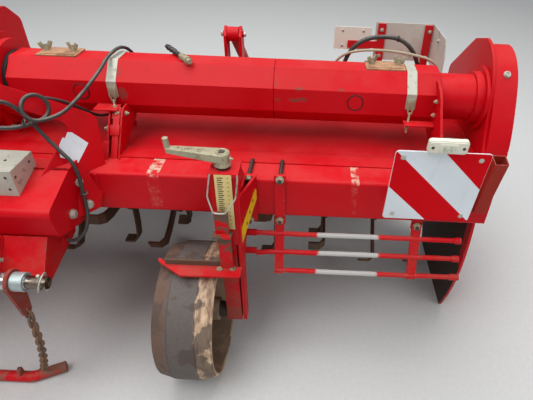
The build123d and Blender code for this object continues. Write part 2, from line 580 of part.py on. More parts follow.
leg_in = LEG_X - LEG / 2
leg_front = LEG_Y - LEG / 2
leg = block(leg_in, leg_in + LEG, leg_front, leg_front + LEG, LEG_LOW, LEG_TOP)
leg = leg - block(leg_in + LEG_WALL, leg_in + LEG - LEG_WALL, leg_front + LEG_WALL,
                  leg_front + LEG - LEG_WALL, LEG_LOW + LEG_WALL, LEG_TOP + 1)
leg += across(WHEEL_X + HUB_IN - 1, leg_in + 1, WHEEL_Y, WHEEL_R, AXLE_R)
leg += across(WHEEL_X + HUB_IN - 11, WHEEL_X + HUB_IN - 1, WHEEL_Y, WHEEL_R, AXLE_R + 9)
leg += across(WHEEL_X + HUB_OUT + 1, leg_in, WHEEL_Y, WHEEL_R, AXLE_R + 9)
LEDGE = 47.0
leg += block(leg_in + 2, leg_in + LEG - 6, leg_front - LEDGE, leg_front, SCRAPER_Z - 10, SCRAPER_Z)

scraper_back = leg_front - 19
scraper_right = leg_in + 70
scraper_xy = [(scraper_right, scraper_back), (scraper_right, leg_front - 62),
              (WHEEL_X - 13, leg_front - 67), (WHEEL_X - 90, leg_front - 13),
              (WHEEL_X - 104, leg_front + 3), (WHEEL_X - 100, leg_front + 11),
              (WHEEL_X - 72, leg_front - 8), (leg_in - 4, leg_front - 13)]
scraper = extrude(Pos(0, 0, SCRAPER_Z) * make_face(Polyline(*scraper_xy, close=True)), SCRAPER_T)
scraper += block(WHEEL_X - 72, leg_in - 4, scraper_back, scraper_back + 6, SCRAPER_Z,
                 SCRAPER_Z + 29)
POINTER_Z = 660.0
POINTER_TOP = 745.0
bar_front = leg_front - 28
scraper += block(leg_in + 3, leg_in + 44, bar_front, bar_front + 8, SCRAPER_Z + SCRAPER_T,
                 POINTER_Z + 8)
scraper += block(leg_in - 8, leg_in + 50, bar_front - 24, bar_front + 8, POINTER_Z, POINTER_Z + 8)
scraper += block(leg_in, leg_in + 42, bar_front - 8, bar_front, POINTER_Z, POINTER_TOP)
scraper += block(leg_in, leg_in + 42, bar_front - 8, bar_front + 8, POINTER_TOP - 8, POINTER_TOP)

guide_in = LEG_X - GUIDE / 2
guide_out = LEG_X + GUIDE / 2
guide_front = LEG_Y - GUIDE / 2
guide_rear = LEG_Y + GUIDE / 2
PAD_T = 14.0
PAD_LOW = 590.0
PAD_TOP = TUBE_TOP + 21
pad_y = TUBE_FRONT - PAD_T
SKIRT_T = 12.0             # the plate beside the leg, down to its foot
WING_T = 8.0
bore = LEG / 2 + SEAT_GAP
guide = block(guide_in, guide_out, guide_front, guide_rear, GUIDE_LOW, GUIDE_TOP)
guide += block(guide_in - 4, guide_out + SKIRT_T + 4, guide_front - 4, guide_rear + 4,
               GUIDE_TOP - 12, GUIDE_TOP)
guide = guide - block(LEG_X - bore, LEG_X + bore, LEG_Y - bore, LEG_Y + bore, GUIDE_LOW - 1,
                      GUIDE_TOP - 12)
guide += plate_x([(guide_front + 2, GUIDE_TOP - 6), (guide_rear, GUIDE_TOP - 6), (pad_y, PAD_TOP),
                  (pad_y, PAD_LOW), (guide_rear - 8, 500), (guide_rear - 20, LEG_LOW),
                  (guide_front + 8, LEG_LOW), (guide_front + 2, 300)], guide_out,
                 guide_out + SKIRT_T, [(1, 20), (4, 60), (5, 12)])
guide += plate_x([(guide_rear, PAD_TOP + 15), (pad_y, PAD_TOP - 10), (pad_y, PAD_LOW + 10),
                  (guide_rear, PAD_LOW + 20)], guide_in + 4, guide_in + 14)
guide += block(guide_in - 22, guide_out + 47, pad_y, TUBE_FRONT, PAD_LOW, PAD_TOP)
wing_start = Vector(guide_out + SKIRT_T, guide_front + 14, PAD_TOP)
wing_way = Vector(guide_out + 47, pad_y, PAD_TOP) - wing_start
wing_plane = Plane(origin=wing_start, x_dir=wing_way, z_dir=wing_way.cross(Vector(0, 0, 1)))
wing = [(0, 0), (wing_way.length, 0), (wing_way.length, -40), (0, PAD_LOW - PAD_TOP)]
guide += extrude(wing_plane * make_face(Polyline(*wing, close=True)), -WING_T)

CRANK_Z = GUIDE_TOP + 14
CRANK_T = 16.0
CRANK_TIP = (856.0, -722.0)
crank_face = make_hull([Pos(LEG_X, LEG_Y) * e for e in Circle(26).edges()]
                       + [Pos(*CRANK_TIP) * e for e in Circle(11).edges()])
crank = extrude(Pos(0, 0, CRANK_Z) * crank_face, CRANK_T)
crank += rod((LEG_X, LEG_Y, GUIDE_TOP), (LEG_X, LEG_Y, CRANK_Z), 18)
crank += extrude(Pos(LEG_X, LEG_Y, CRANK_Z + CRANK_T) * RegularPolygon(15, 6), 9)
handle_foot = (CRANK_TIP[0], CRANK_TIP[1], CRANK_Z + CRANK_T / 2)
handle_top = (CRANK_TIP[0] - 7, CRANK_TIP[1], CRANK_Z + 78)
crank += rod(handle_foot, handle_top, 10)
save_pair("depth_guides", guide)
save_pair("depth_cranks", crank)
for hand, turned in (("right", lambda shape: shape), ("left", mirrored)):
    save(f"tyre_{hand}", turned(tyre))
    save(f"rim_{hand}", turned(rim))
    save(f"depth_leg_{hand}", turned(leg))
    save(f"scraper_{hand}", turned(scraper))

# Front guards: two bars a side, bent forward below the main tube, and three rods
GUARD_XS = [1172.0, SPAN - 234]
GUARD_W = 40.0
GUARD_T = 12.0
GUARD_LEAN = math.radians(17)
GUARD_DROP = 217.0
ROD_R = 12.0
ROD_END = SPAN - 93
ROD_DOWN = [(62, 1090), (132, 1090), (205, 1165)]      # way down the bars, and where each rod starts
lean_y = math.sin(GUARD_LEAN)
lean_z = math.cos(GUARD_LEAN)
guard_low = (TUBE_FRONT - GUARD_DROP * lean_y, TUBE_LOW - GUARD_DROP * lean_z)
guard_points = [(TUBE_FRONT, TUBE_TOP), (TUBE_FRONT, TUBE_LOW), guard_low,
                (guard_low[0] - GUARD_T * lean_z, guard_low[1] + GUARD_T * lean_y),
                (TUBE_FRONT - GUARD_T, TUBE_LOW), (TUBE_FRONT - GUARD_T, TUBE_TOP)]
guard = plate_x(guard_points, GUARD_XS[0] - GUARD_W / 2, GUARD_XS[0] + GUARD_W / 2)
guard += plate_x(guard_points, GUARD_XS[1] - GUARD_W / 2, GUARD_XS[1] + GUARD_W / 2)
for down, x0 in ROD_DOWN:
    y = TUBE_FRONT - down * lean_y - GUARD_T / 2 * lean_z
    z = TUBE_LOW - down * lean_z + GUARD_T / 2 * lean_y
    guard += across(x0, ROD_END, y, z, ROD_R)
save_pair("front_guards", guard)

# Warning boards, their lamps and holders
BOARD = 282.0
BOARD_X = SPAN - 225
BOARD_T = 3.0
BOARD_LEAN = 8.4
BOARD_LOW = (-696.0, 656.0)
lean = math.radians(BOARD_LEAN)
board_face = Plane(origin=(BOARD_X, BOARD_LOW[0], BOARD_LOW[1]), x_dir=(1, 0, 0),
                   z_dir=(0, -math.cos(lean), -math.sin(lean)))
board = extrude(board_face * Pos(0, BOARD / 2) * RectangleRounded(BOARD, BOARD, 12), -BOARD_T)
board_cut = extrude(board_face * Pos(0, BOARD / 2) * Rectangle(BOARD + 200, BOARD + 200), BOARD)
save_pair("warning_boards", board)
holder = block(BOARD_X + 35, BOARD_X + 75, BOARD_LOW[0] - 45, TUBE_FRONT, 670, 740)
holder = holder - extrude(board_face * Pos(0, BOARD / 2) * Rectangle(BOARD, 2 * BOARD), -BOARD_T)
holder = holder - board_cut
SOCKET = 42.0
SOCKET_WALL = 3.0
SOCKET_X = SPAN - 50
socket_foot = Vector(SOCKET_X, TUBE_FRONT - SOCKET / 2 - 1, 690)
socket_top = Vector(SOCKET_X, socket_foot.Y - 49, 905)
socket_plane = Plane(origin=socket_foot, x_dir=(1, 0, 0), z_dir=socket_top - socket_foot)
socket_inner = SOCKET - 2 * SOCKET_WALL
socket_length = (socket_top - socket_foot).length
socket = extrude(socket_plane * RectangleRounded(SOCKET, SOCKET, 4), socket_length)
socket += block(SOCKET_X - 26, SOCKET_X + 26, TUBE_FRONT - 6, TUBE_FRONT, 672, 748)
socket = socket - extrude(socket_plane * RectangleRounded(socket_inner, socket_inner, 1.5),
                          socket_length + 1, both=True)
save_pair("board_holders", holder, socket)
LAMP_T = 24.0
lamp = extrude(board_face * Pos(0, BOARD + 26) * RectangleRounded(120, 50, 12), LAMP_T)
lamp = fillet(lamp.faces().sort_by(Axis.Y)[0].edges(), 6)
lamp_strap = extrude(board_face * Pos(0, BOARD + 4) * Rectangle(30, 70), -BOARD_T - 5)
lamp_strap = lamp_strap - extrude(board_face * Pos(0, BOARD / 2) * Rectangle(BOARD, BOARD), -BOARD_T)
save_pair("board_lamps", lamp, lamp_strap)

# Rear boards on two posts from the rear beam: a folded grey sheet and a flat white one
REAR_Y = HOOD_REAR - 3
REAR_SHEET = 3.0
GREY_X = (SPAN - 354, SPAN - 102)
GREY_Z = (905.0, 1065.0)
WHITE_X = (SPAN - 531, SPAN - 370)
POST_W = 33.0
POST_T = 8.0
rear_posts = block(WHITE_X[0] + 60, GREY_X[0] + 12, REAR_Y - POST_T, REAR_Y, 955, 985)
for x in (GREY_X[0] + 10, GREY_X[1] - POST_W - 8):
    rear_posts += block(x, x + POST_W, REAR_Y - POST_T, REAR_Y, HOOD_TOP + BEAM, GREY_Z[1] - 4)
grey = block(GREY_X[0], GREY_X[1], REAR_Y, REAR_Y + REAR_SHEET, *GREY_Z)
grey += plate_x([(REAR_Y + REAR_SHEET, GREY_Z[0]), (-110, GREY_Z[0]), (-110, 1000), (-77, GREY_Z[1]),
                 (REAR_Y + REAR_SHEET, GREY_Z[1])], GREY_X[1] - REAR_SHEET, GREY_X[1])
white = block(*WHITE_X, REAR_Y, REAR_Y + REAR_SHEET, 945, 1041)
save_pair("rear_boards", rear_posts, grey, white)

# Stays: clevises on the rear beam, telescopic sleeves and rods down to the ridging body
clevis_points = [(62, HOOD_TOP + BEAM), (138, HOOD_TOP + BEAM), (135, STAY_TOP[1]),
                 (100, STAY_TOP[1] + 35), (65, STAY_TOP[1])]
clevis = plate_x(clevis_points, STAY_X - 38, STAY_X - 26)
clevis += plate_x(clevis_points, STAY_X + 26, STAY_X + 38)
clevis += across(STAY_X - 45, STAY_X + 45, STAY_TOP[0], STAY_TOP[1], STAY_PIN_R)
save_pair("stay_clevises", clevis)
stay_top = Vector(STAY_X, *STAY_TOP)
stay_end = Vector(STAY_X, *STAY_END)
stay_way = (stay_end - stay_top).normalized()
sleeve = across(STAY_X - 24, STAY_X + 24, STAY_TOP[0], STAY_TOP[1], 30)
sleeve += rod(stay_top, stay_top + stay_way * 520, STAY_SLEEVE_R)
sleeve = sleeve - rod(stay_top + stay_way * 60, stay_top + stay_way * 600, STAY_ROD_R + 1)
sleeve = sleeve - across(STAY_X - 50, STAY_X + 50, STAY_TOP[0], STAY_TOP[1], STAY_PIN_R + RUN_GAP)
save_pair("stay_sleeves", sleeve)
EYE_R = 32.0
EYE_BORE = 14.5
stay_rod = rod(stay_top + stay_way * 300, stay_end - stay_way * 20, STAY_ROD_R)
stay_rod += across(STAY_X - 14, STAY_X + 14, STAY_END[0], STAY_END[1], EYE_R)
stay_rod = stay_rod - across(STAY_X - 50, STAY_X + 50, STAY_END[0], STAY_END[1], EYE_BORE)
save_pair("stay_rods", stay_rod)

# Ridging body: one pressed sheet of ridge tunnels, and the frame that carries it


def ridge_section(crown_half, high):
    low = [(-RIDGE_HALF, 0.0)]
    for centre in RIDGE_CENTRES:
        low += [(centre - RIDGE_BASE, 0.0), (centre - crown_half, high),
                (centre + crown_half, high), (centre + RIDGE_BASE, 0.0)]
    low += [(RIDGE_HALF, 0.0)]
    top = [(x, z + RIDGE_SHEET) for x, z in reversed(low)]
    return make_face(Polyline(*low, *top, close=True))


front_plane = Plane(origin=(0, RIDGE_FRONT, 0), x_dir=(1, 0, 0), z_dir=(0, -1, 0))
rear_plane = Plane(origin=(0, RIDGE_REAR, 0), x_dir=(1, 0, 0), z_dir=(0, -1, 0))
ridge_sheet = loft([front_plane * ridge_section(RIDGE_CROWN_FRONT, RIDGE_HIGH_FRONT),
                    rear_plane * ridge_section(RIDGE_CROWN_REAR, RIDGE_HIGH_REAR)], ruled=True)
save("ridge_sheet", ridge_sheet)


def crown_top(y):
    share = (y - RIDGE_FRONT) / (RIDGE_REAR - RIDGE_FRONT)
    return RIDGE_HIGH_FRONT + share * (RIDGE_HIGH_REAR - RIDGE_HIGH_FRONT) + RIDGE_SHEET


front_low = crown_top(FRONT_BAR_Y) + 4
rear_low = crown_top(REAR_BAR_Y) + 4
frame = hollow_section(-RIDGE_HALF + 20, RIDGE_HALF - 20, FRONT_BAR_Y, front_low, FRONT_BAR, 5, 8)
frame_rear = hollow_section(-RIDGE_HALF + 120, RIDGE_HALF - 120, REAR_BAR_Y, rear_low, REAR_BAR, 4, 6)
for x in RIDGE_CENTRES:
    for y0, low, size in ((FRONT_BAR_Y, front_low, FRONT_BAR), (REAR_BAR_Y, rear_low, REAR_BAR)):
        saddle = plate_x([(y0, crown_top(y0)), (y0 + size, crown_top(y0 + size)),
                          (y0 + size, low + 9), (y0, low + 9)], x - 60, x + 60)
        saddle = saddle - block(x - 61, x + 61, y0, y0 + size, low + 4, low + 10)
        if y0 == FRONT_BAR_Y:
            frame += saddle
        else:
            frame_rear += saddle
arm_points = [(FRONT_BAR_Y + 10, front_low + FRONT_BAR - 2), (FRONT_BAR_Y + 70, front_low + FRONT_BAR - 2),
              (212, 775), (185, 788), (158, 765), (170, 735)]
for x in ARM_XS:
    arm = plate_x(arm_points, x - ARM_T / 2, x + ARM_T / 2)
    arm = arm - across(x - 20, x + 20, HINGE_Y, HINGE_Z, HINGE_PIN_R + RUN_GAP)
    frame += arm
    tie = plate_x([(FRONT_BAR_Y + FRONT_BAR - 2, front_low + 20),
                   (FRONT_BAR_Y + FRONT_BAR - 2, front_low + 70),
                   (REAR_BAR_Y + 2, rear_low + 50), (REAR_BAR_Y + 2, rear_low + 10)],
                  x - 15, x + 15)
    frame += tie
frame += frame_rear
for side in (-1, 1):
    for offset in (-28, 18):
        x0 = side * STAY_X + offset
        frame += plate_x([(STAY_END[0] - 28, rear_low + REAR_BAR - 2),
                          (STAY_END[0] + 28, rear_low + REAR_BAR - 2),
                          (STAY_END[0] + 26, STAY_END[1] + 10), (STAY_END[0], STAY_END[1] + 30),
                          (STAY_END[0] - 26, STAY_END[1] + 10)], x0, x0 + 10)
    frame += across(side * STAY_X - 34, side * STAY_X + 34, STAY_END[0], STAY_END[1], STAY_PIN_R)
save("ridge_frame", frame)

# Cables and hoses


def cord(name, points, size):
    """A round cord: straight runs joined by arcs as large as the runs allow."""
    spots = [Vector(*point) for point in points]
    radii = []
    for before, at, after in zip(spots, spots[1:], spots[2:]):
        turn = math.radians((at - before).get_angle(after - at))
        shorter = min((at - before).length, (after - at).length)
        radii.append(0.45 * shorter / math.tan(turn / 2))
    path = FilletPolyline(*spots, radius=radii)
    tube = sweep(Plane(origin=path @ 0, z_dir=path % 0) * Circle(size / 2), path=path)
    share = tube.volume / (math.pi * size ** 2 / 4 * path.length)
    print(name, "radii", [round(radius) for radius in radii], "volume", round(share, 4))
    save(name, tube)


cord("lamp_cable", LAMP_CABLE, CABLE_D)
cord("side_cable", SIDE_CABLE, CABLE_D)
cord("pale_hose", PALE_HOSE, HOSE_D)
cord("top_conduit", CONDUIT, CONDUIT_D)
cord("top_hose", TOP_HOSE, HOSE_D)
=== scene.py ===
import bpy
import bmesh
import math
from mathutils import Matrix, Vector, noise


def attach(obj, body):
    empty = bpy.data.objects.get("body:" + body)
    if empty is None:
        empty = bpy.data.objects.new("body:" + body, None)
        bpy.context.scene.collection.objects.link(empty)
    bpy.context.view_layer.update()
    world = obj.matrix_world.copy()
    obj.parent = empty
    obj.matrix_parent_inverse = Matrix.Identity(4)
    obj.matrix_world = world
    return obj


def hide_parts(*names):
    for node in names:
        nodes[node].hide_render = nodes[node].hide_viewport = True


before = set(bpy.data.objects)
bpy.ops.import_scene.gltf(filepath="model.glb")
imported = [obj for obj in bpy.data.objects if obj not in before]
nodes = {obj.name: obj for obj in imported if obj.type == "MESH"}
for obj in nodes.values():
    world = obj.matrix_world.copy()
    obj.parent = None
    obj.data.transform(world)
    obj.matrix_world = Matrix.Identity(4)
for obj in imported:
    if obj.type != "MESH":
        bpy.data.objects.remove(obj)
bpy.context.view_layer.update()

# Main places and sizes in millimetres: X from the centre plane, Y to the rear, Z up

MM = 0.001
TO_METRES = Matrix.Scale(MM, 4)
SPAN = 1880.0               # centre plane to the inner face of a side plate
CASE_FACE = 1972.0          # centre plane to the outer face of a gear case
TUBE_FRONT = -646.0         # the main tube's faces
TUBE_TOP = 754.0
TUBE_LOW = 604.0
DRIVE_Y = -291.0            # the axle of the drive tubes and their covers
DRIVE_Z = 921.0
COVER_FRONT = -391.0
COVER_TOP = 1021.0
PLUG_XS = (454, 1417)
LID_XS = (362, 1520)
HINGE_XS = (450, 1350)
STAY_X = 915
ROTOR = (-170.0, 375.0)             # Y and Z of the rotor's axle
HITCH = (-1002.0, 609.0)            # Y and Z of the hitch pins
WHEEL = (878.0, -766.0, 250.0)      # middle of a depth wheel, as high as its radius
LEG_X = 1015.0
SIDES = (-1, 1)


# Objects, camera and lights

def new_mesh(name, bm):
    mesh = bpy.data.meshes.new(name)
    bm.to_mesh(mesh)
    bm.free()
    return mesh


def new_object(name, data):
    made = bpy.data.objects.new(name, data)
    bpy.context.collection.objects.link(made)
    return made


def make_camera():
    data = bpy.data.cameras.new("camera")
    data.sensor_width = 36.0
    data.lens = 30.3
    data.shift_x = -0.080
    camera = new_object("camera", data)
    right = Vector((0.9990, 0.0253, 0.0347)).normalized()
    back = Vector((0.0, -0.808, 0.589)).normalized()
    up = back.cross(right).normalized()
    camera.matrix_world = Matrix((
        (right.x, up.x, back.x, 1.270),
        (right.y, up.y, back.y, -1.870),
        (right.z, up.z, back.z, 1.571),
        (0.0, 0.0, 0.0, 1.0)))
    bpy.context.scene.camera = camera


def make_lamp(name, spot, aim, size, power):
    data = bpy.data.lights.new(name, "AREA")
    data.shape = "DISK"
    data.size = size
    data.energy = power
    lamp = new_object(name, data)
    lamp.location = spot
    lamp.rotation_mode = "QUATERNION"
    lamp.rotation_quaternion = (Vector(aim) - Vector(spot)).to_track_quat("-Z", "Y")


# Shader trees

def put(tree, kind, inputs=None, **settings):
    node = tree.nodes.new(kind)
    for name, value in settings.items():
        setattr(node, name, value)
    for name, value in (inputs or {}).items():
        if isinstance(value, bpy.types.NodeSocket):
            tree.links.new(value, node.inputs[name])
        else:
            node.inputs[name].default_value = value
    return node


def object_point(tree, scale=None, turn=(0.0, 0.0, 0.0)):
    point = put(tree, "ShaderNodeTexCoord").outputs["Object"]
    if scale is None:
        return point
    return put(tree, "ShaderNodeMapping",
               {"Vector": point, "Scale": scale, "Rotation": turn}).outputs["Vector"]


def cloud(tree, point, scale, detail=4.0, rough=0.6):
    return put(tree, "ShaderNodeTexNoise", {"Vector": point, "Scale": scale, "Detail": detail,
                                            "Roughness": rough}).outputs["Fac"]


def step(tree, value, low, high):
    return put(tree, "ShaderNodeMapRange", {"Value": value, "From Min": low, "From Max": high},
               interpolation_type="SMOOTHSTEP").outputs["Result"]


def calc(tree, operation, a, b=0.0):
    return put(tree, "ShaderNodeMath", {0: a, 1: b}, operation=operation, use_clamp=True).outputs[0]


def free(tree, operation, a, b=0.0):
    """Arithmetic whose result isn't held between nought and one."""
    return put(tree, "ShaderNodeMath", {0: a, 1: b}, operation=operation).outputs[0]


def plus(tree, a, b):
    return free(tree, "ADD", a, b)


def times(tree, a, b):
    return calc(tree, "MULTIPLY", a, b)


def most(tree, a, b):
    return calc(tree, "MAXIMUM", a, b)


def axis(tree, vector, name):
    return put(tree, "ShaderNodeSeparateXYZ", {0: vector}).outputs[name]


def from_middle(tree, point):
    """Distance from the machine's centre plane, in metres."""
    return free(tree, "ABSOLUTE", axis(tree, point, "X"))


def between(tree, value, rise, fall):
    """A share that rises from and to two values and falls from and to two others."""
    return times(tree, step(tree, value, *rise), step(tree, value, *fall))


def mix(tree, share, a, b):
    a = (*a, 1.0) if isinstance(a, tuple) else a
    b = (*b, 1.0) if isinstance(b, tuple) else b
    return put(tree, "ShaderNodeMix", {0: share, 6: a, 7: b}, data_type="RGBA").outputs[2]


def blend(tree, share, a, b):
    return put(tree, "ShaderNodeMix", {0: share, 2: a, 3: b}, data_type="FLOAT").outputs[0]


def new_group(name, ins, outs):
    tree = bpy.data.node_groups.new(name, "ShaderNodeTree")
    for socket, value in ins:
        tree.interface.new_socket(socket, in_out="INPUT",
                                  socket_type="NodeSocketFloat").default_value = value
    for socket in outs:
        tree.interface.new_socket(socket, in_out="OUTPUT", socket_type="NodeSocketFloat")
    return tree, tree.nodes.new("NodeGroupInput").outputs, tree.nodes.new("NodeGroupOutput").inputs


def make_edge_wear():
    """Edge: a mask of the outer edges. Chips: where the finish has come off, most on those edges."""
    tree, given, result = new_group("edge_wear", [("Width", 0.004), ("Scale", 70.0),
                                                  ("Amount", 0.5)], ["Edge", "Chips"])
    rounded = put(tree, "ShaderNodeBevel", {"Radius": given["Width"]}, samples=4).outputs["Normal"]
    plain = put(tree, "ShaderNodeNewGeometry").outputs["Normal"]
    facing = put(tree, "ShaderNodeVectorMath", {0: rounded, 1: plain},
                 operation="DOT_PRODUCT").outputs["Value"]
    edge = step(tree, facing, 0.985, 0.86)
    chance = cloud(tree, object_point(tree), given["Scale"], 6.0, 0.65)
    chance = plus(tree, chance, free(tree, "MULTIPLY", edge, 0.24))
    chance = plus(tree, chance, free(tree, "MULTIPLY", given["Amount"], 0.3))
    tree.links.new(edge, result["Edge"])
    tree.links.new(step(tree, chance, 0.98, 1.01), result["Chips"])
    return tree


def make_dirt():
    """Dust: on faces that look up. Mud: towards the ground. Streaks: run down. Scratches: fine lines."""
    tree, given, result = new_group("field_dirt", [("Scale", 6.0), ("Reach", 0.7)],
                                    ["Dust", "Mud", "Streaks", "Scratches"])
    point = object_point(tree)
    upward = axis(tree, put(tree, "ShaderNodeNewGeometry").outputs["Normal"], "Z")
    height = axis(tree, point, "Z")
    patches = cloud(tree, point, given["Scale"], 8.0, 0.68)
    specks = cloud(tree, point, 55.0, 5.0, 0.6)
    dust = times(tree, step(tree, upward, 0.25, 0.95), step(tree, patches, 0.36, 0.66))
    low = put(tree, "ShaderNodeMapRange", {"Value": height, "From Min": given["Reach"],
                                           "From Max": 0.0}).outputs["Result"]
    mud = times(tree, low, step(tree, plus(tree, patches, times(tree, specks, 0.35)), 0.58, 0.78))
    streaks = step(tree, cloud(tree, object_point(tree, (38.0, 38.0, 2.2)), 1.0, 4.0), 0.56, 0.74)
    scratches = step(tree, cloud(tree, object_point(tree, (3.0, 110.0, 70.0), (0.3, 0.2, 0.4)),
                                 1.0, 2.0, 0.5), 0.69, 0.73)
    for mask, value in (("Dust", dust), ("Mud", mud), ("Streaks", streaks),
                        ("Scratches", scratches)):
        tree.links.new(value, result[mask])
    return tree


def make_rust():
    """Patches: broad rust. Pits: the small craters, for height and colour."""
    tree, given, result = new_group("rust_bloom", [("Scale", 20.0), ("Cover", 0.5)],
                                    ["Patches", "Pits"])
    point = object_point(tree)
    bloom = cloud(tree, point, given["Scale"], 9.0, 0.7)
    bloom = plus(tree, bloom, free(tree, "MULTIPLY", given["Cover"], 0.35))
    tree.links.new(step(tree, bloom, 0.55, 0.78), result["Patches"])
    tree.links.new(cloud(tree, point, 260.0, 5.0, 0.7), result["Pits"])
    return tree


FINISH = {}
EDGE_WEAR = make_edge_wear()
FIELD_DIRT = make_dirt()
RUST_BLOOM = make_rust()


def grouped(tree, group, **values):
    node = tree.nodes.new("ShaderNodeGroup")
    node.node_tree = group
    for name, value in values.items():
        node.inputs[name].default_value = value
    return node.outputs


def new_material(name):
    material = bpy.data.materials.new(name)
    material.use_nodes = True
    FINISH[name] = material
    tree = material.node_tree
    return tree, tree.nodes["Principled BSDF"].inputs


def finish_with(tree, shader, colour, rough, height, depth, gleam=None):
    tree.links.new(colour, shader["Base Color"])
    tree.links.new(rough, shader["Roughness"])
    bump = put(tree, "ShaderNodeBump", {"Height": height, "Strength": 0.6, "Distance": depth})
    tree.links.new(bump.outputs["Normal"], shader["Normal"])
    if gleam is not None:
        tree.links.new(gleam, shader["Metallic"])


RED = (0.52, 0.0005, 0.005)
RED_FADED = (0.56, 0.003, 0.010)
BARE = (0.16, 0.13, 0.11)
MUD = (0.17, 0.115, 0.075)
DUST = (0.42, 0.34, 0.29)


def paint(name, colour, faded, chips=0.35, dust=0.07, mud=0.4, gloss=0.34, coat=0.03, bare=BARE,
          extra=None, specular=0.14):
    """Sprayed paint: slow fading, orange peel, dust on top, mud low down and chips on the edges."""
    tree, shader = new_material(name)
    point = object_point(tree)
    wear = grouped(tree, EDGE_WEAR, Amount=chips)
    dirt = grouped(tree, FIELD_DIRT)
    tone = cloud(tree, point, 2.4, 3.0)
    top = mix(tree, step(tree, tone, 0.35, 0.7), colour, faded)
    top = mix(tree, times(tree, dirt["Streaks"], 0.22), top, tuple(c * 0.55 for c in colour))
    top = mix(tree, times(tree, dirt["Dust"], dust), top, DUST)
    top = mix(tree, times(tree, dirt["Scratches"], 0.45), top, faded)
    top = mix(tree, times(tree, dirt["Mud"], mud), top, MUD)
    gone = wear["Chips"]
    if extra is not None:
        gone = most(tree, gone, extra(tree, point))
    top = mix(tree, gone, top, bare)
    rough = blend(tree, tone, gloss, gloss + 0.14)
    rough = blend(tree, most(tree, dirt["Dust"], dirt["Mud"]), rough, 0.75)
    rough = blend(tree, gone, rough, 0.6)
    peel = cloud(tree, point, 420.0, 2.0)
    height = blend(tree, gone, blend(tree, dirt["Mud"], times(tree, peel, 0.25), 0.9), 0.0)
    finish_with(tree, shader, top, rough, height, 0.0006)
    shader["Specular IOR Level"].default_value = specular
    shader["Coat Weight"].default_value = coat
    shader["Coat Roughness"].default_value = 0.12


def metal(name, colour, dark, rough, rust=0.15, rust_scale=20.0, brushed=0.0, depth=0.0004,
          rust_colour=(0.16, 0.065, 0.03), bright_edges=0.6, shine=1.0, other=None,
          other_colour=(0.62, 0.62, 0.60), painted=None):
    """Bare or plated metal with its own tone, rust bloom, pits and rubbed edges."""
    tree, shader = new_material(name)
    point = object_point(tree)
    wear = grouped(tree, EDGE_WEAR, Width=0.003, Amount=0.2)
    bloom = grouped(tree, RUST_BLOOM, Scale=rust_scale, Cover=rust)
    dirt = grouped(tree, FIELD_DIRT)
    tone = cloud(tree, point, 28.0, 6.0)
    lines = cloud(tree, object_point(tree, (4.0, 160.0, 160.0)), 1.0, 3.0)
    surface = mix(tree, tone, dark, colour)
    surface = mix(tree, times(tree, lines, brushed), surface, dark)
    surface = mix(tree, times(tree, wear["Edge"], bright_edges), surface, colour)
    rusty = mix(tree, bloom["Pits"], tuple(c * 0.45 for c in rust_colour), rust_colour)
    surface = mix(tree, bloom["Patches"], surface, rusty)
    surface = mix(tree, times(tree, dirt["Mud"], 0.5), surface, MUD)
    roughness = blend(tree, tone, rough, rough + 0.16)
    roughness = blend(tree, bloom["Patches"], roughness, 0.85)
    if other is not None:
        surface = mix(tree, times(tree, other(tree, point), 0.94), surface, other_colour)
    if painted is not None:
        surface = mix(tree, painted(tree, point), surface, RED)
    gleam = times(tree, calc(tree, "SUBTRACT", 1.0, bloom["Patches"]), shine)
    height = blend(tree, bloom["Patches"], times(tree, lines, 0.3), bloom["Pits"])
    finish_with(tree, shader, surface, roughness, height, depth, gleam)


def plastic(name, colour, dark, rough, grain=700.0, depth=0.0002, dust=0.3, other=None,
            other_colour=(0.03, 0.03, 0.03)):
    """Moulded or extruded plastic and rubber with a fine grain and dust."""
    tree, shader = new_material(name)
    point = object_point(tree)
    dirt = grouped(tree, FIELD_DIRT, Scale=14.0)
    tone = cloud(tree, point, 18.0, 5.0)
    surface = mix(tree, tone, dark, colour)
    surface = mix(tree, times(tree, dirt["Dust"], dust), surface, DUST)
    if other is not None:
        surface = mix(tree, other(tree, point), surface, other_colour)
    fine = cloud(tree, point, grain, 2.0)
    finish_with(tree, shader, surface, blend(tree, tone, rough, rough + 0.15), fine, depth)


def red(name, **more):
    paint(name, RED, RED_FADED, **more)


# Masks of places that look different: each gives a share from nought to one

def worn_rods(tree, point):
    """Where mud and crop have polished the guard rods: their middles, on the lower part only."""
    rough_end = free(tree, "MULTIPLY", cloud(tree, point, 26.0, 3.0), 0.04)
    side = plus(tree, from_middle(tree, point), rough_end)
    middle = between(tree, side, (1.322, 1.334), (1.545, 1.532))
    return times(tree, middle, step(tree, axis(tree, point, "Z"), 0.60, 0.575))


def shade_and_scour_inside(tree, point):
    """The inner faces of the side plates low down, dark up to a red front edge: painted shade inside the
    plates, together with soil scouring.
    """
    height = axis(tree, point, "Z")
    ragged = free(tree, "MULTIPLY", cloud(tree, point, 9.0, 6.0), 0.3)
    low = step(tree, plus(tree, height, ragged), 0.84, 0.74)
    curve = free(tree, "MULTIPLY", height, -0.13)
    behind = step(tree, plus(tree, axis(tree, point, "Y"), curve), -0.585, -0.577)
    inside = times(tree, step(tree, from_middle(tree, point), 1.8815, 1.8805), low)
    return times(tree, inside, most(tree, behind, step(tree, height, 0.34, 0.30)))


def spot_mask(tree, point, spots):
    """Soft-edged patches round places given as X, Y, Z and their half sizes, in metres."""
    parts = put(tree, "ShaderNodeSeparateXYZ", {0: point}).outputs
    total = 0.0
    for x, y, z, *halves in spots:
        away = 0.0
        for name, middle, half in zip("XYZ", (x, y, z), halves):
            share = free(tree, "DIVIDE", free(tree, "SUBTRACT", parts[name], middle), half)
            away = plus(tree, away, free(tree, "POWER", share, 2.0))
        total = most(tree, total, step(tree, away, 1.0, 0.1))
    return total


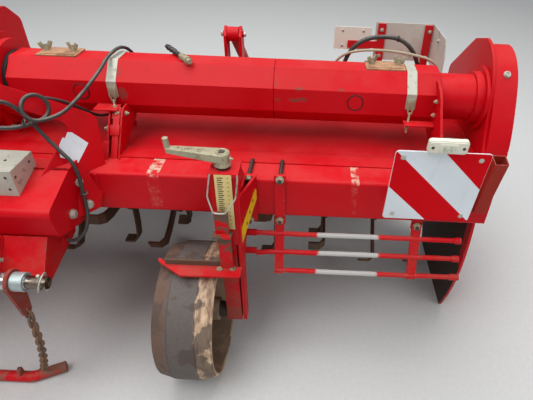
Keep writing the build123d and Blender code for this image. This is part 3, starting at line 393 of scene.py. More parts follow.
def rubbed_cover(tree, point):
    """Grey rub marks on the covers, beside the strap and near the seam."""
    marks = spot_mask(tree, point, [
        (0.600, -0.39, 0.920, 0.020, 0.03, 0.030), (1.228, -0.40, 0.926, 0.026, 0.03, 0.013),
        (1.205, -0.39, 0.924, 0.030, 0.02, 0.009), (1.143, -0.40, 0.921, 0.016, 0.03, 0.012),
        (1.222, -0.39, 0.965, 0.030, 0.03, 0.006), (1.138, -0.372, 0.980, 0.006, 0.03, 0.020),
        (1.364, -0.39, 0.966, 0.020, 0.03, 0.006), (0.592, -0.37, 0.990, 0.010, 0.03, 0.014)])
    rubbed = step(tree, cloud(tree, point, 60.0, 7.0, 0.7), 0.34, 0.66)
    return times(tree, times(tree, marks, rubbed), 0.9)


def taped_tube(tree, point):
    """Pale bands across the main tube where tape was stuck and torn off."""
    bands = 0.0
    for middle, half in ((0.750, 0.020), (1.420, 0.013)):
        away = free(tree, "ABSOLUTE", free(tree, "SUBTRACT", axis(tree, point, "X"), middle))
        bands = most(tree, bands, step(tree, away, half + 0.001, half - 0.001))
    top = step(tree, axis(tree, point, "Z"), 0.742, 0.7505)
    patchy = step(tree, cloud(tree, point, 34.0, 8.0, 0.72), 0.44, 0.56)
    faint = times(tree, step(tree, cloud(tree, point, 22.0, 8.0, 0.75), 0.50, 0.66), 0.2)
    return times(tree, bands, blend(tree, top, faint, patchy))


def dark_sleeve(tree, point):
    """The stretch of the hose that is wrapped in black."""
    return between(tree, axis(tree, point, "X"), (0.348, 0.352), (0.80, 0.79))


def lamp_window(tree, point):
    """The grey-green reflector that shows through the middle of the lamp."""
    marks = spot_mask(tree, point, [(side * 1.655, -0.775, 0.957, 0.027, 0.2, 0.015)
                                    for side in SIDES])
    return times(tree, marks, step(tree, cloud(tree, point, 150.0, 3.0), 0.40, 0.60))


def shaded_stub(tree, point):
    """The axle end between leg and wheel, painted dark as the deep shade between them."""
    return between(tree, from_middle(tree, point), (0.80, 0.81), (0.9878, 0.9874))


def scraper_shade_and_wear(tree, point):
    """The scraper's upright lip behind its blade, painted dark brown as the shade between tyre and lip,
    and its pointer bar, worn brown where it slides.
    """
    height = axis(tree, point, "Z")
    lip = times(tree, step(tree, from_middle(tree, point), 0.9850, 0.9845),
               step(tree, height, 0.5142, 0.5146))
    pointer = times(tree, step(tree, height, 0.525, 0.55),
                   step(tree, cloud(tree, point, 30.0, 6.0), 0.47, 0.53))
    return most(tree, lip, pointer)


def pin_end(tree, point):
    """The ends of the hitch pins, brown with rust outside their collars."""
    return times(tree, step(tree, from_middle(tree, point), 0.484, 0.487),
                step(tree, cloud(tree, point, 45.0, 6.0), 0.30, 0.42))


def white_board(tree, point):
    """The inner one of the two rear boards, which is white."""
    return times(tree, step(tree, from_middle(tree, point), 1.5165, 1.516),
                step(tree, axis(tree, point, "Y"), 0.1365, 0.1371))


def board_posts(tree, point):
    """The posts and arm in front of the rear boards."""
    return times(tree, step(tree, axis(tree, point, "Y"), 0.1369, 0.1367),
                step(tree, from_middle(tree, point), 1.7725, 1.772))


def rubber(name):
    """Worn rubber: brown on the side towards the hitch, a grey middle band, pale and peeled outboard,
    where the paleness is partly painted sunlight on dried soil.
    """
    tree, shader = new_material(name)
    point = object_point(tree)
    side = from_middle(tree, point)
    ragged = free(tree, "MULTIPLY", cloud(tree, point, 17.0, 6.0, 0.65), 0.05)
    place = plus(tree, side, ragged)
    peeled_and_sunlit = step(tree, place, 0.945, 0.951)
    grain = cloud(tree, point, 90.0, 8.0, 0.7)
    brown = mix(tree, grain, (0.075, 0.036, 0.022), (0.17, 0.10, 0.07))
    grey = mix(tree, grain, (0.055, 0.045, 0.040), (0.15, 0.12, 0.105))
    streaks = cloud(tree, object_point(tree, (34.0, 9.0, 9.0)), 1.0, 7.0, 0.7)
    # The pale outboard colours here and on the outer edge below are partly painted sunlight on that side
    # of the tyre, with dried soil and peeling
    pale = mix(tree, step(tree, streaks, 0.38, 0.62), (0.20, 0.115, 0.07), (0.64, 0.45, 0.30))
    surface = mix(tree, step(tree, place, 0.846, 0.854), brown, grey)
    surface = mix(tree, peeled_and_sunlit, surface, pale)
    patches = step(tree, cloud(tree, point, 9.0, 4.0), 0.52, 0.58)
    surface = mix(tree, times(tree, patches, 0.8), surface, (0.07, 0.045, 0.034))
    soiled = step(tree, cloud(tree, point, 40.0, 6.0), 0.55, 0.7)
    lip = mix(tree, soiled, (0.66, 0.46, 0.25), (0.20, 0.12, 0.08))
    surface = mix(tree, step(tree, side, 0.9745, 0.9755), surface, lip)
    height = blend(tree, peeled_and_sunlit, blend(tree, patches, grain, 0.7), 0.1)
    finish_with(tree, shader, surface, blend(tree, grain, 0.55, 0.85), height, 0.002)


# Finishes: red paintwork, bare and plated metal, rubber and plastic, signs

red("red_paint")
red("red_worn", chips=0.75, mud=0.9, gloss=0.36)
red("red_guard", chips=0.6, mud=0.5, bare=(0.45, 0.44, 0.42), extra=worn_rods)
# Side plates: the dark bare colour also paints shade on their inner faces low down, together with soil
# scouring
red("side_paint", chips=0.5, bare=(0.050, 0.034, 0.026), extra=shade_and_scour_inside)
# Scraper: the brown bare colour also paints the shade on its lip beside the tyre
red("scraper_paint", chips=0.7, mud=0.9, bare=(0.12, 0.075, 0.05), extra=scraper_shade_and_wear)
# Legs: the dark bare colour also paints the deep shade on the axle stub between leg and wheel
red("leg_paint", chips=0.8, mud=0.9, bare=(0.06, 0.045, 0.035), extra=shaded_stub)
# The hood's red is a slightly darker copy of the paint: painted shade, as the hood lies under the covers
paint("hood_shaded_red", (0.47, 0.0005, 0.004), (0.54, 0.003, 0.010), dust=0.04, gloss=0.36)
# The board holders' darker red is painted shade inside the open sockets, together with rust
paint("socket_rust_and_shade", (0.30, 0.012, 0.008), (0.34, 0.03, 0.015), chips=0.8, gloss=0.5)
red("cover_paint", bare=(0.10, 0.07, 0.05), extra=rubbed_cover)
red("tube_paint", bare=(0.56, 0.40, 0.30), extra=taped_tube)
paint("wheel_paint", (0.26, 0.17, 0.12), (0.40, 0.27, 0.18), chips=0.2, mud=0.9, gloss=0.6)
metal("rotor_steel", (0.16, 0.13, 0.11), (0.06, 0.045, 0.04), 0.5, rust=0.75, rust_scale=8.0)
metal("bare_steel", (0.52, 0.52, 0.50), (0.30, 0.29, 0.27), 0.32, rust=0.12, rust_scale=5.0,
      brushed=0.5)
metal("zinc", (0.58, 0.57, 0.50), (0.36, 0.35, 0.30), 0.42, rust=0.10, shine=0.6)
metal("galvanised", (0.58, 0.58, 0.50), (0.38, 0.38, 0.31), 0.55, rust=0.0, rust_scale=40.0,
      shine=0.4)
metal("passivated", (0.50, 0.46, 0.31), (0.27, 0.25, 0.16), 0.5, rust=0.10, shine=0.4)
metal("collar_zinc", (0.52, 0.60, 0.60), (0.28, 0.31, 0.31), 0.4, rust=0.08, shine=0.6)
metal("chrome_bar", (0.62, 0.63, 0.65), (0.45, 0.46, 0.48), 0.14, rust=0.18, rust_scale=30.0,
      other=pin_end, other_colour=(0.16, 0.12, 0.085))
metal("rusty_steel", (0.24, 0.19, 0.16), (0.10, 0.075, 0.06), 0.55, rust=0.8, rust_scale=14.0,
      rust_colour=(0.27, 0.135, 0.075))
metal("plate_red_rust", (0.24, 0.11, 0.07), (0.13, 0.07, 0.05), 0.6, rust=0.6, rust_scale=30.0,
      rust_colour=(0.36, 0.03, 0.015), shine=0.2)
metal("dark_steel", (0.14, 0.13, 0.12), (0.06, 0.055, 0.05), 0.45, rust=0.2)
metal("brown_lid", (0.56, 0.31, 0.17), (0.36, 0.19, 0.10), 0.55, rust=0.35, rust_scale=24.0,
      rust_colour=(0.30, 0.15, 0.08), shine=0.1)
metal("grey_board", (0.60, 0.62, 0.54), (0.45, 0.46, 0.40), 0.55, rust=0.1, rust_scale=9.0,
      shine=0.1, other=white_board, other_colour=(0.76, 0.82, 0.70), painted=board_posts)
rubber("tyre_rubber")
plastic("black_plastic", (0.035, 0.035, 0.037), (0.018, 0.018, 0.02), 0.42)
plastic("plug_black", (0.006, 0.006, 0.006), (0.003, 0.003, 0.003), 0.6, dust=0.0)
plastic("cable_rubber", (0.05, 0.048, 0.045), (0.022, 0.021, 0.02), 0.38, depth=0.0003)
plastic("pale_hose", (0.46, 0.40, 0.28), (0.30, 0.25, 0.17), 0.5, other=dark_sleeve)
plastic("lamp_plastic", (0.78, 0.76, 0.64), (0.66, 0.63, 0.50), 0.3, dust=0.1, other=lamp_window,
        other_colour=(0.34, 0.42, 0.31))
paint("sign_plate", (0.76, 0.82, 0.86), (0.68, 0.73, 0.77), chips=0.1, dust=0.1, mud=0.0,
      specular=0.3)
paint("sign_red", (0.66, 0.0005, 0.006), (0.60, 0.0005, 0.006), chips=0.05, dust=0.0, mud=0.0,
      coat=0.0, specular=0.05, bare=(0.6, 0.6, 0.6))
paint("scale_yellow", (0.66, 0.52, 0.22), (0.60, 0.46, 0.18), chips=0.1, dust=0.2, mud=0.0,
      bare=(0.3, 0.24, 0.12))
paint("strip_yellow", (0.80, 0.48, 0.01), (0.72, 0.42, 0.02), chips=0.2, dust=0.1, mud=0.0)

# The parts' finishes, where they aren't plain red paint, and the thin parts with sharper edges
NODE_FINISH = {
    "red_worn": ["lower_link_arms", "rest_bar", "ridge_frame", "stay_rods"],
    "leg_paint": ["depth_leg_right", "depth_leg_left"],
    "wheel_paint": ["rim_right", "rim_left"],
    "cover_paint": ["cover_shells"],
    "tube_paint": ["main_tube"],
    "collar_zinc": ["link_collars"],
    "plate_red_rust": ["chain_plates"],
    "red_guard": ["front_guards"],
    "side_paint": ["side_plates"],
    "scraper_paint": ["scraper_right", "scraper_left"],
    "socket_rust_and_shade": ["board_holders"],
    "hood_shaded_red": ["hood"],
    "rotor_steel": ["rotor_shaft", "rotor_tines"],
    "bare_steel": ["ridge_sheet", "input_shaft"],
    "galvanised": ["guard_boxes", "cover_straps"],
    "chrome_bar": ["hitch_bar"],
    "rusty_steel": ["chains"],
    "tyre_rubber": ["tyre_right", "tyre_left"],
    "black_plastic": ["pto_shield"],
    "sign_plate": ["warning_boards"],
    "brown_lid": ["inspection_lids"],
    "grey_board": ["rear_boards"],
}
THIN = {"cover_straps", "chains", "input_shaft", "warning_boards", "rear_boards", "pto_shield",
        "rotor_tines", "ridge_sheet", "tyre_right", "tyre_left"}
CORDS = {"lamp_cable", "side_cable", "pale_hose", "top_conduit", "top_hose"}
finish_of = {name: slot for slot, names in NODE_FINISH.items() for name in names}


def dress(name, node):
    node.data.materials.clear()
    node.data.materials.append(FINISH[finish_of.get(name, "red_paint")])
    node.data.polygons.foreach_set("use_smooth", [True] * len(node.data.polygons))
    weld = node.modifiers.new("weld", "WELD")
    weld.merge_threshold = 0.00002
    flats = node.modifiers.new("flats", "DECIMATE")
    flats.decimate_type = "DISSOLVE"
    flats.angle_limit = math.radians(0.4)
    rounding = node.modifiers.new("rounding", "BEVEL")
    rounding.width = 0.0005 if name in THIN else 0.0015
    rounding.segments = 2
    rounding.limit_method = "ANGLE"
    rounding.angle_limit = math.radians(35)
    rounding.harden_normals = True
    node.modifiers.new("shading", "WEIGHTED_NORMAL")


for name, node in nodes.items():
    if name not in CORDS:
        dress(name, node)


# Small pieces: each collects its shapes in millimetres, then becomes one object

RIGHT = Vector((1, 0, 0))
BACK = Vector((0, 1, 0))
UP = Vector((0, 0, 1))
LEFT, FRONT, DOWN = -RIGHT, -BACK, -UP


def verts_of(geometry):
    return [item for item in geometry if isinstance(item, bmesh.types.BMVert)]


def edges_of(verts):
    return list({edge for vert in verts for edge in vert.link_edges})


def to_metres(bm, verts, place=None):
    bmesh.ops.transform(bm, verts=verts, matrix=TO_METRES @ (place or Matrix()))


def soften(bm, geometry, offset, segments=2, affect="EDGES"):
    return bmesh.ops.bevel(bm, geom=geometry, offset=offset, affect=affect, segments=segments,
                           profile=0.5, material=-1)


def sweep(bm, edges, axle, steps):
    """A profile turned once round an axle through the origin."""
    bmesh.ops.spin(bm, geom=edges, cent=(0, 0, 0), axis=axle, angle=math.tau, steps=steps,
                   use_merge=True)


def shifted(middle, points):
    return [Vector(middle) + Vector(point) for point in points]


def circle(middle, radius, count=6):
    """Places round a circle that faces sideways."""
    turns = [math.tau * i / count for i in range(count)]
    return shifted(middle, [(0, radius * math.cos(turn), radius * math.sin(turn)) for turn in turns])


def towards(at, way, spin=0.0):
    """A matrix that stands local Z at a point along a direction, from millimetres to metres."""
    turn = Vector(way).to_track_quat("Z", "Y").to_matrix().to_4x4()
    return TO_METRES @ Matrix.Translation(at) @ turn @ Matrix.Rotation(math.radians(spin), 4, "Z")


def stud(bm, at, way, radius, length, top=None, sides=20, spin=0.0):
    """A round or many-sided post, narrower at its top if that is given."""
    made = bmesh.ops.create_cone(bm, cap_ends=True, segments=sides, radius1=radius,
                                 radius2=radius if top is None else top, depth=length)["verts"]
    bmesh.ops.translate(bm, verts=made, vec=(0, 0, length / 2))
    bmesh.ops.transform(bm, verts=made, matrix=towards(at, way, spin))


def bar(bm, start, end, radius):
    way = Vector(end) - Vector(start)
    stud(bm, start, way, radius, way.length)


def slab(bm, low, high, soft=1.0, place=None):
    """A block between two corners with softened edges."""
    low, high = Vector(low), Vector(high)
    made = bmesh.ops.create_cube(bm, size=1.0)["verts"]
    bmesh.ops.scale(bm, verts=made, vec=high - low)
    bmesh.ops.translate(bm, verts=made, vec=(low + high) / 2)
    done = soften(bm, edges_of(made), soft)
    verts = {vert for face in done["faces"] for vert in face.verts}
    verts |= {vert for vert in made if vert.is_valid}
    to_metres(bm, list(verts), place)


def torus(bm, at, way, radius, thick, sides=32):
    made = bmesh.ops.create_circle(bm, segments=10, radius=thick)["verts"]
    bmesh.ops.rotate(bm, verts=made, cent=(0, 0, 0), matrix=Matrix.Rotation(math.radians(90), 3, "X"))
    bmesh.ops.translate(bm, verts=made, vec=(radius, 0, 0))
    before = set(bm.verts) - set(made)
    sweep(bm, edges_of(made), UP, sides)
    new = [vert for vert in bm.verts if vert not in before]
    bmesh.ops.transform(bm, verts=new, matrix=towards(at, way))


def hex_bolt(bm, at, way, size, washer=True, thread=0.0):
    """A hexagon head or nut on its washer, with an end of thread if it has one."""
    way = Vector(way).normalized()
    at = Vector(at)
    if washer:
        stud(bm, at, way, size * 1.18, 2.0, sides=24)
        at = at + way * 2.0
    stud(bm, at, way, size, size * 0.62, sides=6, spin=10)
    stud(bm, at + way * size * 0.62, way, size * 0.93, size * 0.12, top=size * 0.78, sides=6, spin=10)
    if thread:
        stud(bm, at + way * size * 0.7, way, size * 0.5, thread, top=size * 0.44, sides=16)


def hex_bolts(bm, places, way, size, **more):
    for at in places:
        hex_bolt(bm, at, way, size, **more)


def cup_bolt(bm, at, way, radius):
    """A round-headed bolt."""
    way = Vector(way).normalized()
    stud(bm, at, way, radius, radius * 0.22)
    stud(bm, Vector(at) + way * radius * 0.22, way, radius, radius * 0.24, top=radius * 0.62)


def wing_nut(bm, at, spin):
    stud(bm, at, UP, 8.5, 13.0, top=6.5, sides=16)
    stud(bm, at, UP, 4.0, 22.0, sides=12)
    turn = Matrix.Translation(at) @ Matrix.Rotation(math.radians(spin), 4, "Z")
    for side in SIDES:
        tilt = Matrix.Rotation(math.radians(side * 26), 4, "Y")
        wing = turn @ Matrix.Translation((side * 13, 0, 18)) @ tilt
        slab(bm, (-7.5, -2.0, -13), (7.5, 2.0, 13), 1.8, wing)


def wire_mesh(points, radius):
    data = bpy.data.curves.new("wire", "CURVE")
    data.dimensions = "3D"
    data.bevel_depth = radius * MM
    data.bevel_resolution = 3
    data.resolution_u = 8
    data.use_fill_caps = True
    spline = data.splines.new("NURBS")
    spline.points.add(len(points) - 1)
    for spot, point in zip(spline.points, points):
        spot.co = (*(Vector(point) * MM), 1.0)
    spline.order_u = 3
    spline.use_endpoint_u = True
    return data


def wire(bm, points, radius):
    """A bent wire, rod or weld bead along points, added to the piece."""
    data = wire_mesh(points, radius)
    holder = bpy.data.objects.new("wire", data)
    mesh = bpy.data.meshes.new_from_object(holder)
    bm.from_mesh(mesh)
    bpy.data.objects.remove(holder)
    bpy.data.meshes.remove(mesh)
    bpy.data.curves.remove(data)


def thicken(bm, points, along, place=None):
    """A plate from the outline of one face, drawn out along a vector."""
    face = bm.faces.new([bm.verts.new(point) for point in points])
    far = verts_of(bmesh.ops.extrude_face_region(bm, geom=[face])["geom"])
    bmesh.ops.translate(bm, verts=far, vec=along)
    to_metres(bm, list(set(face.verts) | set(far)), place)


def flat(bm, corners, place, lift, thick):
    """A thin flat shape from corners in its own plane."""
    thicken(bm, [(x, y, lift) for x, y in corners], (0, 0, thick), place)


def prism(bm, outline, start, end):
    """A plate from one X to another, from an outline in Y and Z."""
    thicken(bm, [(start, y, z) for y, z in outline], (end - start, 0, 0))


def add_left(bm):
    """The same shapes on the other side of the machine."""
    copy = bmesh.ops.duplicate(bm, geom=bm.verts[:] + bm.edges[:] + bm.faces[:])["geom"]
    bmesh.ops.scale(bm, verts=verts_of(copy), vec=(-1, 1, 1))
    bmesh.ops.reverse_faces(bm, faces=[item for item in copy if isinstance(item, bmesh.types.BMFace)])


def finish_piece(name, bm, finish, body="frame", both=True, instead_of=None):
    bmesh.ops.remove_doubles(bm, verts=bm.verts, dist=0.000005)
    bmesh.ops.recalc_face_normals(bm, faces=bm.faces)
    if both:
        add_left(bm)
    mesh = new_mesh(name, bm)
    mesh.shade_smooth()
    mesh.set_sharp_from_angle(angle=math.radians(32))
    mesh.materials.append(FINISH[finish])
    piece = new_object(name, mesh)
    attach(piece, body)
    if instead_of:
        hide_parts(instead_of)


# Cables and hoses: points of their centre lines in millimetres

def lay_cord(node, points, size, finish):
    data = wire_mesh(points, size / 2)
    data.bevel_resolution = 5
    data.resolution_u = 12
    data.materials.append(FINISH[finish])
    cord = new_object(node + "_run", data)
    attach(cord, "frame")
    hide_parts(node)


LAMP_CABLE = [(128, -745, 1030), (178, -745, 1030), (245, -756, 1007), (315, -764, 977),
              (385, -746, 955), (430, -719, 948), (472, -665, 950), (483, -644, 972),
              (476, -639, 1002), (458, -653, 1023), (441, -678, 1024), (434, -700, 1004),
              (443, -709, 976), (466, -697, 955), (508, -646, 955), (524, -600, 966),
              (530, -535, 975), (536, -465, 990), (546, -402, 1010), (552, -360, 1030),
              (559, -318, 1041), (566, -258, 1042), (576, -214, 1024), (586, -178, 978),
              (592, -168, 925), (600, -166, 865), (608, -158, 812), (630, -135, 780),
              (670, -100, 759), (725, -70, 752), (790, -45, 756), (845, -25, 771),
              (870, 10, 780), (870, 44, 780)]
SIDE_CABLE = [(128, -730, 1062), (180, -730, 1062), (240, -765, 1048), (300, -786, 1024),
              (350, -760, 1022), (390, -705, 1026), (420, -688, 986), (437, -684, 954),
              (460, -681, 906), (497, -683, 850), (528, -687, 812), (538, -694, 762),
              (538, -703, 706), (545, -718, 652), (546, -742, 614), (537, -768, 586),
              (516, -785, 575), (490, -785, 575)]
PALE_HOSE = [(128, -718, 1028), (178, -718, 1028), (235, -655, 1010), (295, -580, 978),
             (350, -525, 955), (400, -490, 938), (440, -455, 905), (465, -420, 865),
             (485, -380, 825), (515, -340, 815), (545, -290, 812), (560, -266, 790),
             (560, -266, 756)]
CONDUIT = [(1385, -120, 756), (1384, -122, 826), (1374, -156, 902), (1374, -182, 974),
           (1396, -196, 1044), (1446, -192, 1088), (1520, -192, 1099), (1578, -188, 1092),
           (1622, -190, 1062), (1654, -182, 1012), (1676, -165, 948), (1690, -142, 880),
           (1698, -120, 816), (1698, -120, 756)]
TOP_HOSE = [(1320, -140, 756), (1320, -140, 828), (1321, -152, 902), (1335, -168, 975),
            (1372, -196, 1030), (1433, -213, 1052), (1502, -217, 1057), (1571, -213, 1052),
            (1641, -218, 1043), (1699, -222, 1030), (1735, -205, 990), (1746, -172, 920),
            (1745, -140, 842), (1745, -140, 756)]


def make_ties():
    bm = bmesh.new()
    for at, way in (((440, -716, 962), (0.55, 0.5, -0.4)), ((240, -765, 1046), (1, -0.4, -0.2)),
                    ((540, -700, 706), UP), ((1571, -190, 1092), (1, 0.1, -0.15))):
        torus(bm, at, way, 9.5, 2.4, sides=24)
    finish_piece("cable_ties", bm, "black_plastic", both=False)


# Headstock: its slanted gussets, bolts and welds, and the hitch

GUSSET_FOOT = Vector((558, TUBE_FRONT, 679))
GUSSET_WAY = Vector((0.742, -0.592, 0.314)).normalized()


def on_gusset(x, z, out=10.0):
    """The point of the gusset's outer face at an X and a Z."""
    fall = GUSSET_WAY.x * (x - GUSSET_FOOT.x) + GUSSET_WAY.z * (z - GUSSET_FOOT.z)
    return Vector((x, GUSSET_FOOT.y - fall / GUSSET_WAY.y, z)) + GUSSET_WAY * out


def make_headstock_bolts():
    bm = bmesh.new()
    hex_bolts(bm, [on_gusset(512, 733), on_gusset(534, 655)], GUSSET_WAY, 13)
    hex_bolt(bm, (520, -763, 669), RIGHT, 14)
    hex_bolts(bm, [(345, -960, 560), (345, -900, 590)], RIGHT, 9)
    hex_bolts(bm, [(102, -845, 1180), (102, -845, 1110), (102, -700, 900)], RIGHT, 10)
    finish_piece("headstock_bolts", bm, "zinc")
    bm = bmesh.new()
    screws = [((x, -814, z), FRONT) for x in (275, 395) for z in (793, 833)]
    screws += [((415, -800, 828), RIGHT), ((415, -722, 834), RIGHT)]
    screws += [((x, -755, 855), UP) for x in (300, 370)]
    for at, way in screws:
        stud(bm, at, way, 4.5, 1.6, top=3.5, sides=16)
    finish_piece("guard_box_screws", bm, "dark_steel")


def make_blank_label():
    bm = bmesh.new()
    corners = [(477, 856), (484, 873), (489, 869), (494, 883), (503, 878), (536, 832), (514, 787),
               (478, 822)]
    thicken(bm, [on_gusset(x, z, 10.2) for x, z in corners], GUSSET_WAY * 0.5)
    finish_piece("blank_label", bm, "sign_plate", both=False)


def make_weld_beads():
    """Fillet welds where the plates meet the tube, the beam and each other."""
    bm = bmesh.new()
    runs = [
        [(-520, -710, 803), (-260, -711, 803), (0, -710, 803), (260, -711, 803), (520, -710, 803)],
        [(563, TUBE_FRONT - 1, 748), (566, TUBE_FRONT - 1, 700), (562, TUBE_FRONT - 1, 640)],
        [(564, -560, 756), (564, -530, 756), (564, -502, 756)],
        [(612, -560, 756), (612, -530, 756), (612, -502, 756)],
        [(1702, -600, 756), (1702, -550, 756), (1702, -502, 756)],
        [(1694, -600, 756), (1694, -550, 756), (1694, -502, 756)],
        [(105, -500, 757), (105, -560, 757), (105, -594, 757)],
        [(1060, -799, 860), (1061, -799, 700), (1060, -799, 602)],
        [(1877, TUBE_FRONT + 2, 740), (1878, TUBE_FRONT + 2, 680), (1877, TUBE_FRONT + 2, 610)],
        [(1877, -630, 755), (1878, -560, 755), (1877, -505, 755)],
        [(1877, -420, 744), (1878, -200, 744), (1877, 50, 744)],
        [(345, -945, 542), (345, -900, 596), (345, -862, 646)],
    ]
    for run in runs:
        wire(bm, run, 3.4)
    finish_piece("weld_beads", bm, "red_paint")


def make_hitch_details():
    bm = bmesh.new()
    pin = Vector((527, *HITCH))
    bar(bm, pin + Vector((0, -6, 34)), pin + Vector((0, 6, -34)), 4.5)
    torus(bm, pin + Vector((4, -6, 8)), (0.92, 0.1, -0.3), 27, 2.4)
    finish_piece("linch_pins", bm, "zinc")
    bm = bmesh.new()
    for x in (239, 231):
        torus(bm, (x, -933, 60), (1, 0.2, 0), 9, 2.4)
    finish_piece("rest_bar_rings", bm, "red_worn")


# Covers over the drive tubes: plug rings, wing nuts, the tensioned straps and the hood's front edge

def make_cover_details():
    rings, caps = bmesh.new(), bmesh.new()
    for x in PLUG_XS:
        torus(rings, (x, COVER_FRONT, DRIVE_Z + 2), FRONT, 27.5, 1.9)
        stud(caps, (x, COVER_FRONT, DRIVE_Z + 2), FRONT, 26.0, 1.4, top=24.5, sides=40)
    stud(rings, (186, DRIVE_Y, DRIVE_Z), RIGHT, 103, 13.5, sides=64)
    finish_piece("plug_rings", rings, "plug_black")
    finish_piece("plug_caps", caps, "red_paint")
    nuts, ribs = bmesh.new(), bmesh.new()
    for x in LID_XS:
        lid = Vector((x, DRIVE_Y + 4, COVER_TOP + 6))
        for side, spin in ((-1, 35), (1, -15)):
            at = lid + Vector((side * 48, 0, 0))
            stud(nuts, at, UP, 10, 2)
            wing_nut(nuts, at + UP * 2, spin)
        slab(ribs, lid + Vector((-60, -34, 0)), lid + Vector((60, 34, 2.5)), 1.2)
    finish_piece("wing_nuts", nuts, "passivated")
    finish_piece("lid_ribs", ribs, "brown_lid")


def make_hood_lip():
    """The hood's front edge, bent up and welded on the main tube."""
    bm = bmesh.new()
    lip = [(-546, 754.6), (-546, 758.0), (-500, 758.0), (-446, 746.2), (-438, 742.6), (-470, 741.0)]
    prism(bm, lip, 2 - SPAN, SPAN - 2)
    finish_piece("hood_lip", bm, "hood_shaded_red", both=False)


def make_strap_tensioners():
    bm = bmesh.new()
    hook = [(-9, -9, 18), (-9, -11, -20), (0, -12, -30), (9, -11, -20), (9, -9, 18)]
    for x, foot in ((566, Vector((583, -440, 880))), (1611, Vector((1604, -426, 842)))):
        front = Vector((x, COVER_FRONT, DRIVE_Z))
        way = (foot - front - Vector((0, -6, -2))).normalized()
        slab(bm, front + Vector((-14, -8, -14)), front + Vector((14, -3, 26)), 1.5)
        wire(bm, shifted(front, hook), 2.6)
        bar(bm, front + Vector((0, -11, -20)), foot, 4.0)
        hex_bolt(bm, foot - way * 14, way, 8, thread=14)
    finish_piece("strap_tensioners", bm, "passivated")
    bm = bmesh.new()
    hex_bolt(bm, (564, -475, 826), LEFT, 10, thread=8)
    hex_bolt(bm, (612, -432, 866), RIGHT, 8, thread=5)
    hex_bolt(bm, (592, -452, 874), (0.2, -0.6, 0.75), 7, thread=4)
    ends = [(1694, COVER_FRONT - 22, DRIVE_Z - 22), (1694, COVER_FRONT - 22, DRIVE_Z + 28)]
    hex_bolts(bm, ends, LEFT, 7, thread=4)
    finish_piece("bracket_bolts", bm, "passivated")


def make_plug_coupling():
    """A hose coupling with its dust cap that lies on the cover."""
    start, end = Vector((718, -200, 1032)), Vector((800, -304, 1032))
    way = (end - start).normalized()
    bm = bmesh.new()
    bar(bm, start, end, 8.5)
    for share in (0.12, 0.3, 0.48):
        stud(bm, start.lerp(end, share), way, 10.5, 5)
    finish_piece("coupling_hose", bm, "black_plastic", both=False)
    bm = bmesh.new()
    for along, radius, length, top, sides in ((-4, 13, 26, 13, 6), (22, 11, 18, 11, 24),
                                              (40, 13.5, 12, 13.5, 24), (52, 9.5, 14, 8.5, 24)):
        stud(bm, end + way * along, way, radius, length, top, sides)
    finish_piece("coupling_ends", bm, "passivated", both=False)


def make_uprights():
    """A channel bracket inboard and a notched plate outboard on each side of the machine."""
    cheek = [(-556, 754), (-500, 754), (-341, 816), (-341, 850), (-358, 846.8), (-391, 879.6),
             (-400, 888), (-430, 890), (-452, 880), (-468, 862)]
    notched = [(-606, 754), (-500, 754), (-351, 812), (-351, 846), (-358, 846), (-391, 879.6),
               (-391, 889), (-404, 894), (-406, 902), (-400, 910), (-391, 914), (-391, 938),
               (-404, 944), (-406, 952), (-400, 960), (-391, 963), (-362, 992), (-351, 996),
               (-362, 1006), (-378, 1007), (-431, 992), (-455, 976), (-481, 945), (-560, 862),
               (-580, 836), (-590, 810)]
    plates = [
        (564, 570, cheek),
        (606, 612, cheek),
        (582, 604, [(-558, 754), (-550, 754), (-462, 862), (-470, 866)]),
        (576, 604, [(-470, 862), (-462, 860), (-432, 884), (-436, 891)]),
        (556, 576, [(-566, 754), (-558, 754), (-519, 802), (-527, 806)]),
        (576, 608, [(-512, 820), (-504, 814), (-482, 842), (-490, 848)]),
        (514, 596, [(-462, 884), (-412, 884), (-412, 890), (-462, 890)]),
        (1694, 1702, notched),
        (1591, 1698, [(-446, 866), (-406, 866), (-406, 872), (-446, 872)]),
    ]
    bm = bmesh.new()
    for start, end, outline in plates:
        prism(bm, outline, start, end)
    soften(bm, [edge for edge in bm.edges if len(edge.link_faces) == 2
                and edge.calc_face_angle(0) > 1.2], 0.0009)
    finish_piece("upright_plates", bm, "red_worn", instead_of="cover_uprights")


# Front guards: two flat bars a side, bent forward below the main tube, and three rods across them

GUARD_XS = (1172, 1646)
GUARD_LEAN = math.radians(17)
GUARD_THICK = 12.0
GUARD_RODS = {                  # down the bars: places along X and how far the rod is bent up there
    62: [(1090, 0), (1126, 0), (1165, 0), (1300, -1), (1440, 1), (1806, 0)],
    132: [(1090, -10), (1126, -5), (1165, 0), (1300, -1), (1440, 1), (1809, 0)],
    205: [(1158, 0), (1240, 0), (1440, -2), (1819, 0)],
}


def guard_line(down, out=GUARD_THICK / 2):
    """Y and Z at a distance down the bars and out from their rear face."""
    return (TUBE_FRONT - down * math.sin(GUARD_LEAN) - out * math.cos(GUARD_LEAN),
            TUBE_LOW - down * math.cos(GUARD_LEAN) + out * math.sin(GUARD_LEAN))


def make_guards():
    front = TUBE_FRONT - GUARD_THICK
    outline = [(TUBE_FRONT, TUBE_TOP), (TUBE_FRONT, TUBE_LOW), guard_line(217, 0),
               guard_line(217, GUARD_THICK), (front, TUBE_LOW), (front, TUBE_TOP)]
    bm = bmesh.new()
    for x in GUARD_XS:
        prism(bm, outline, x - 16, x + 16)
    for down, path in GUARD_RODS.items():
        y, z = guard_line(down)
        wire(bm, [(x, y, z + bend) for x, bend in path], 9.0)
    finish_piece("guard_rods", bm, "red_guard", instead_of="front_guards")


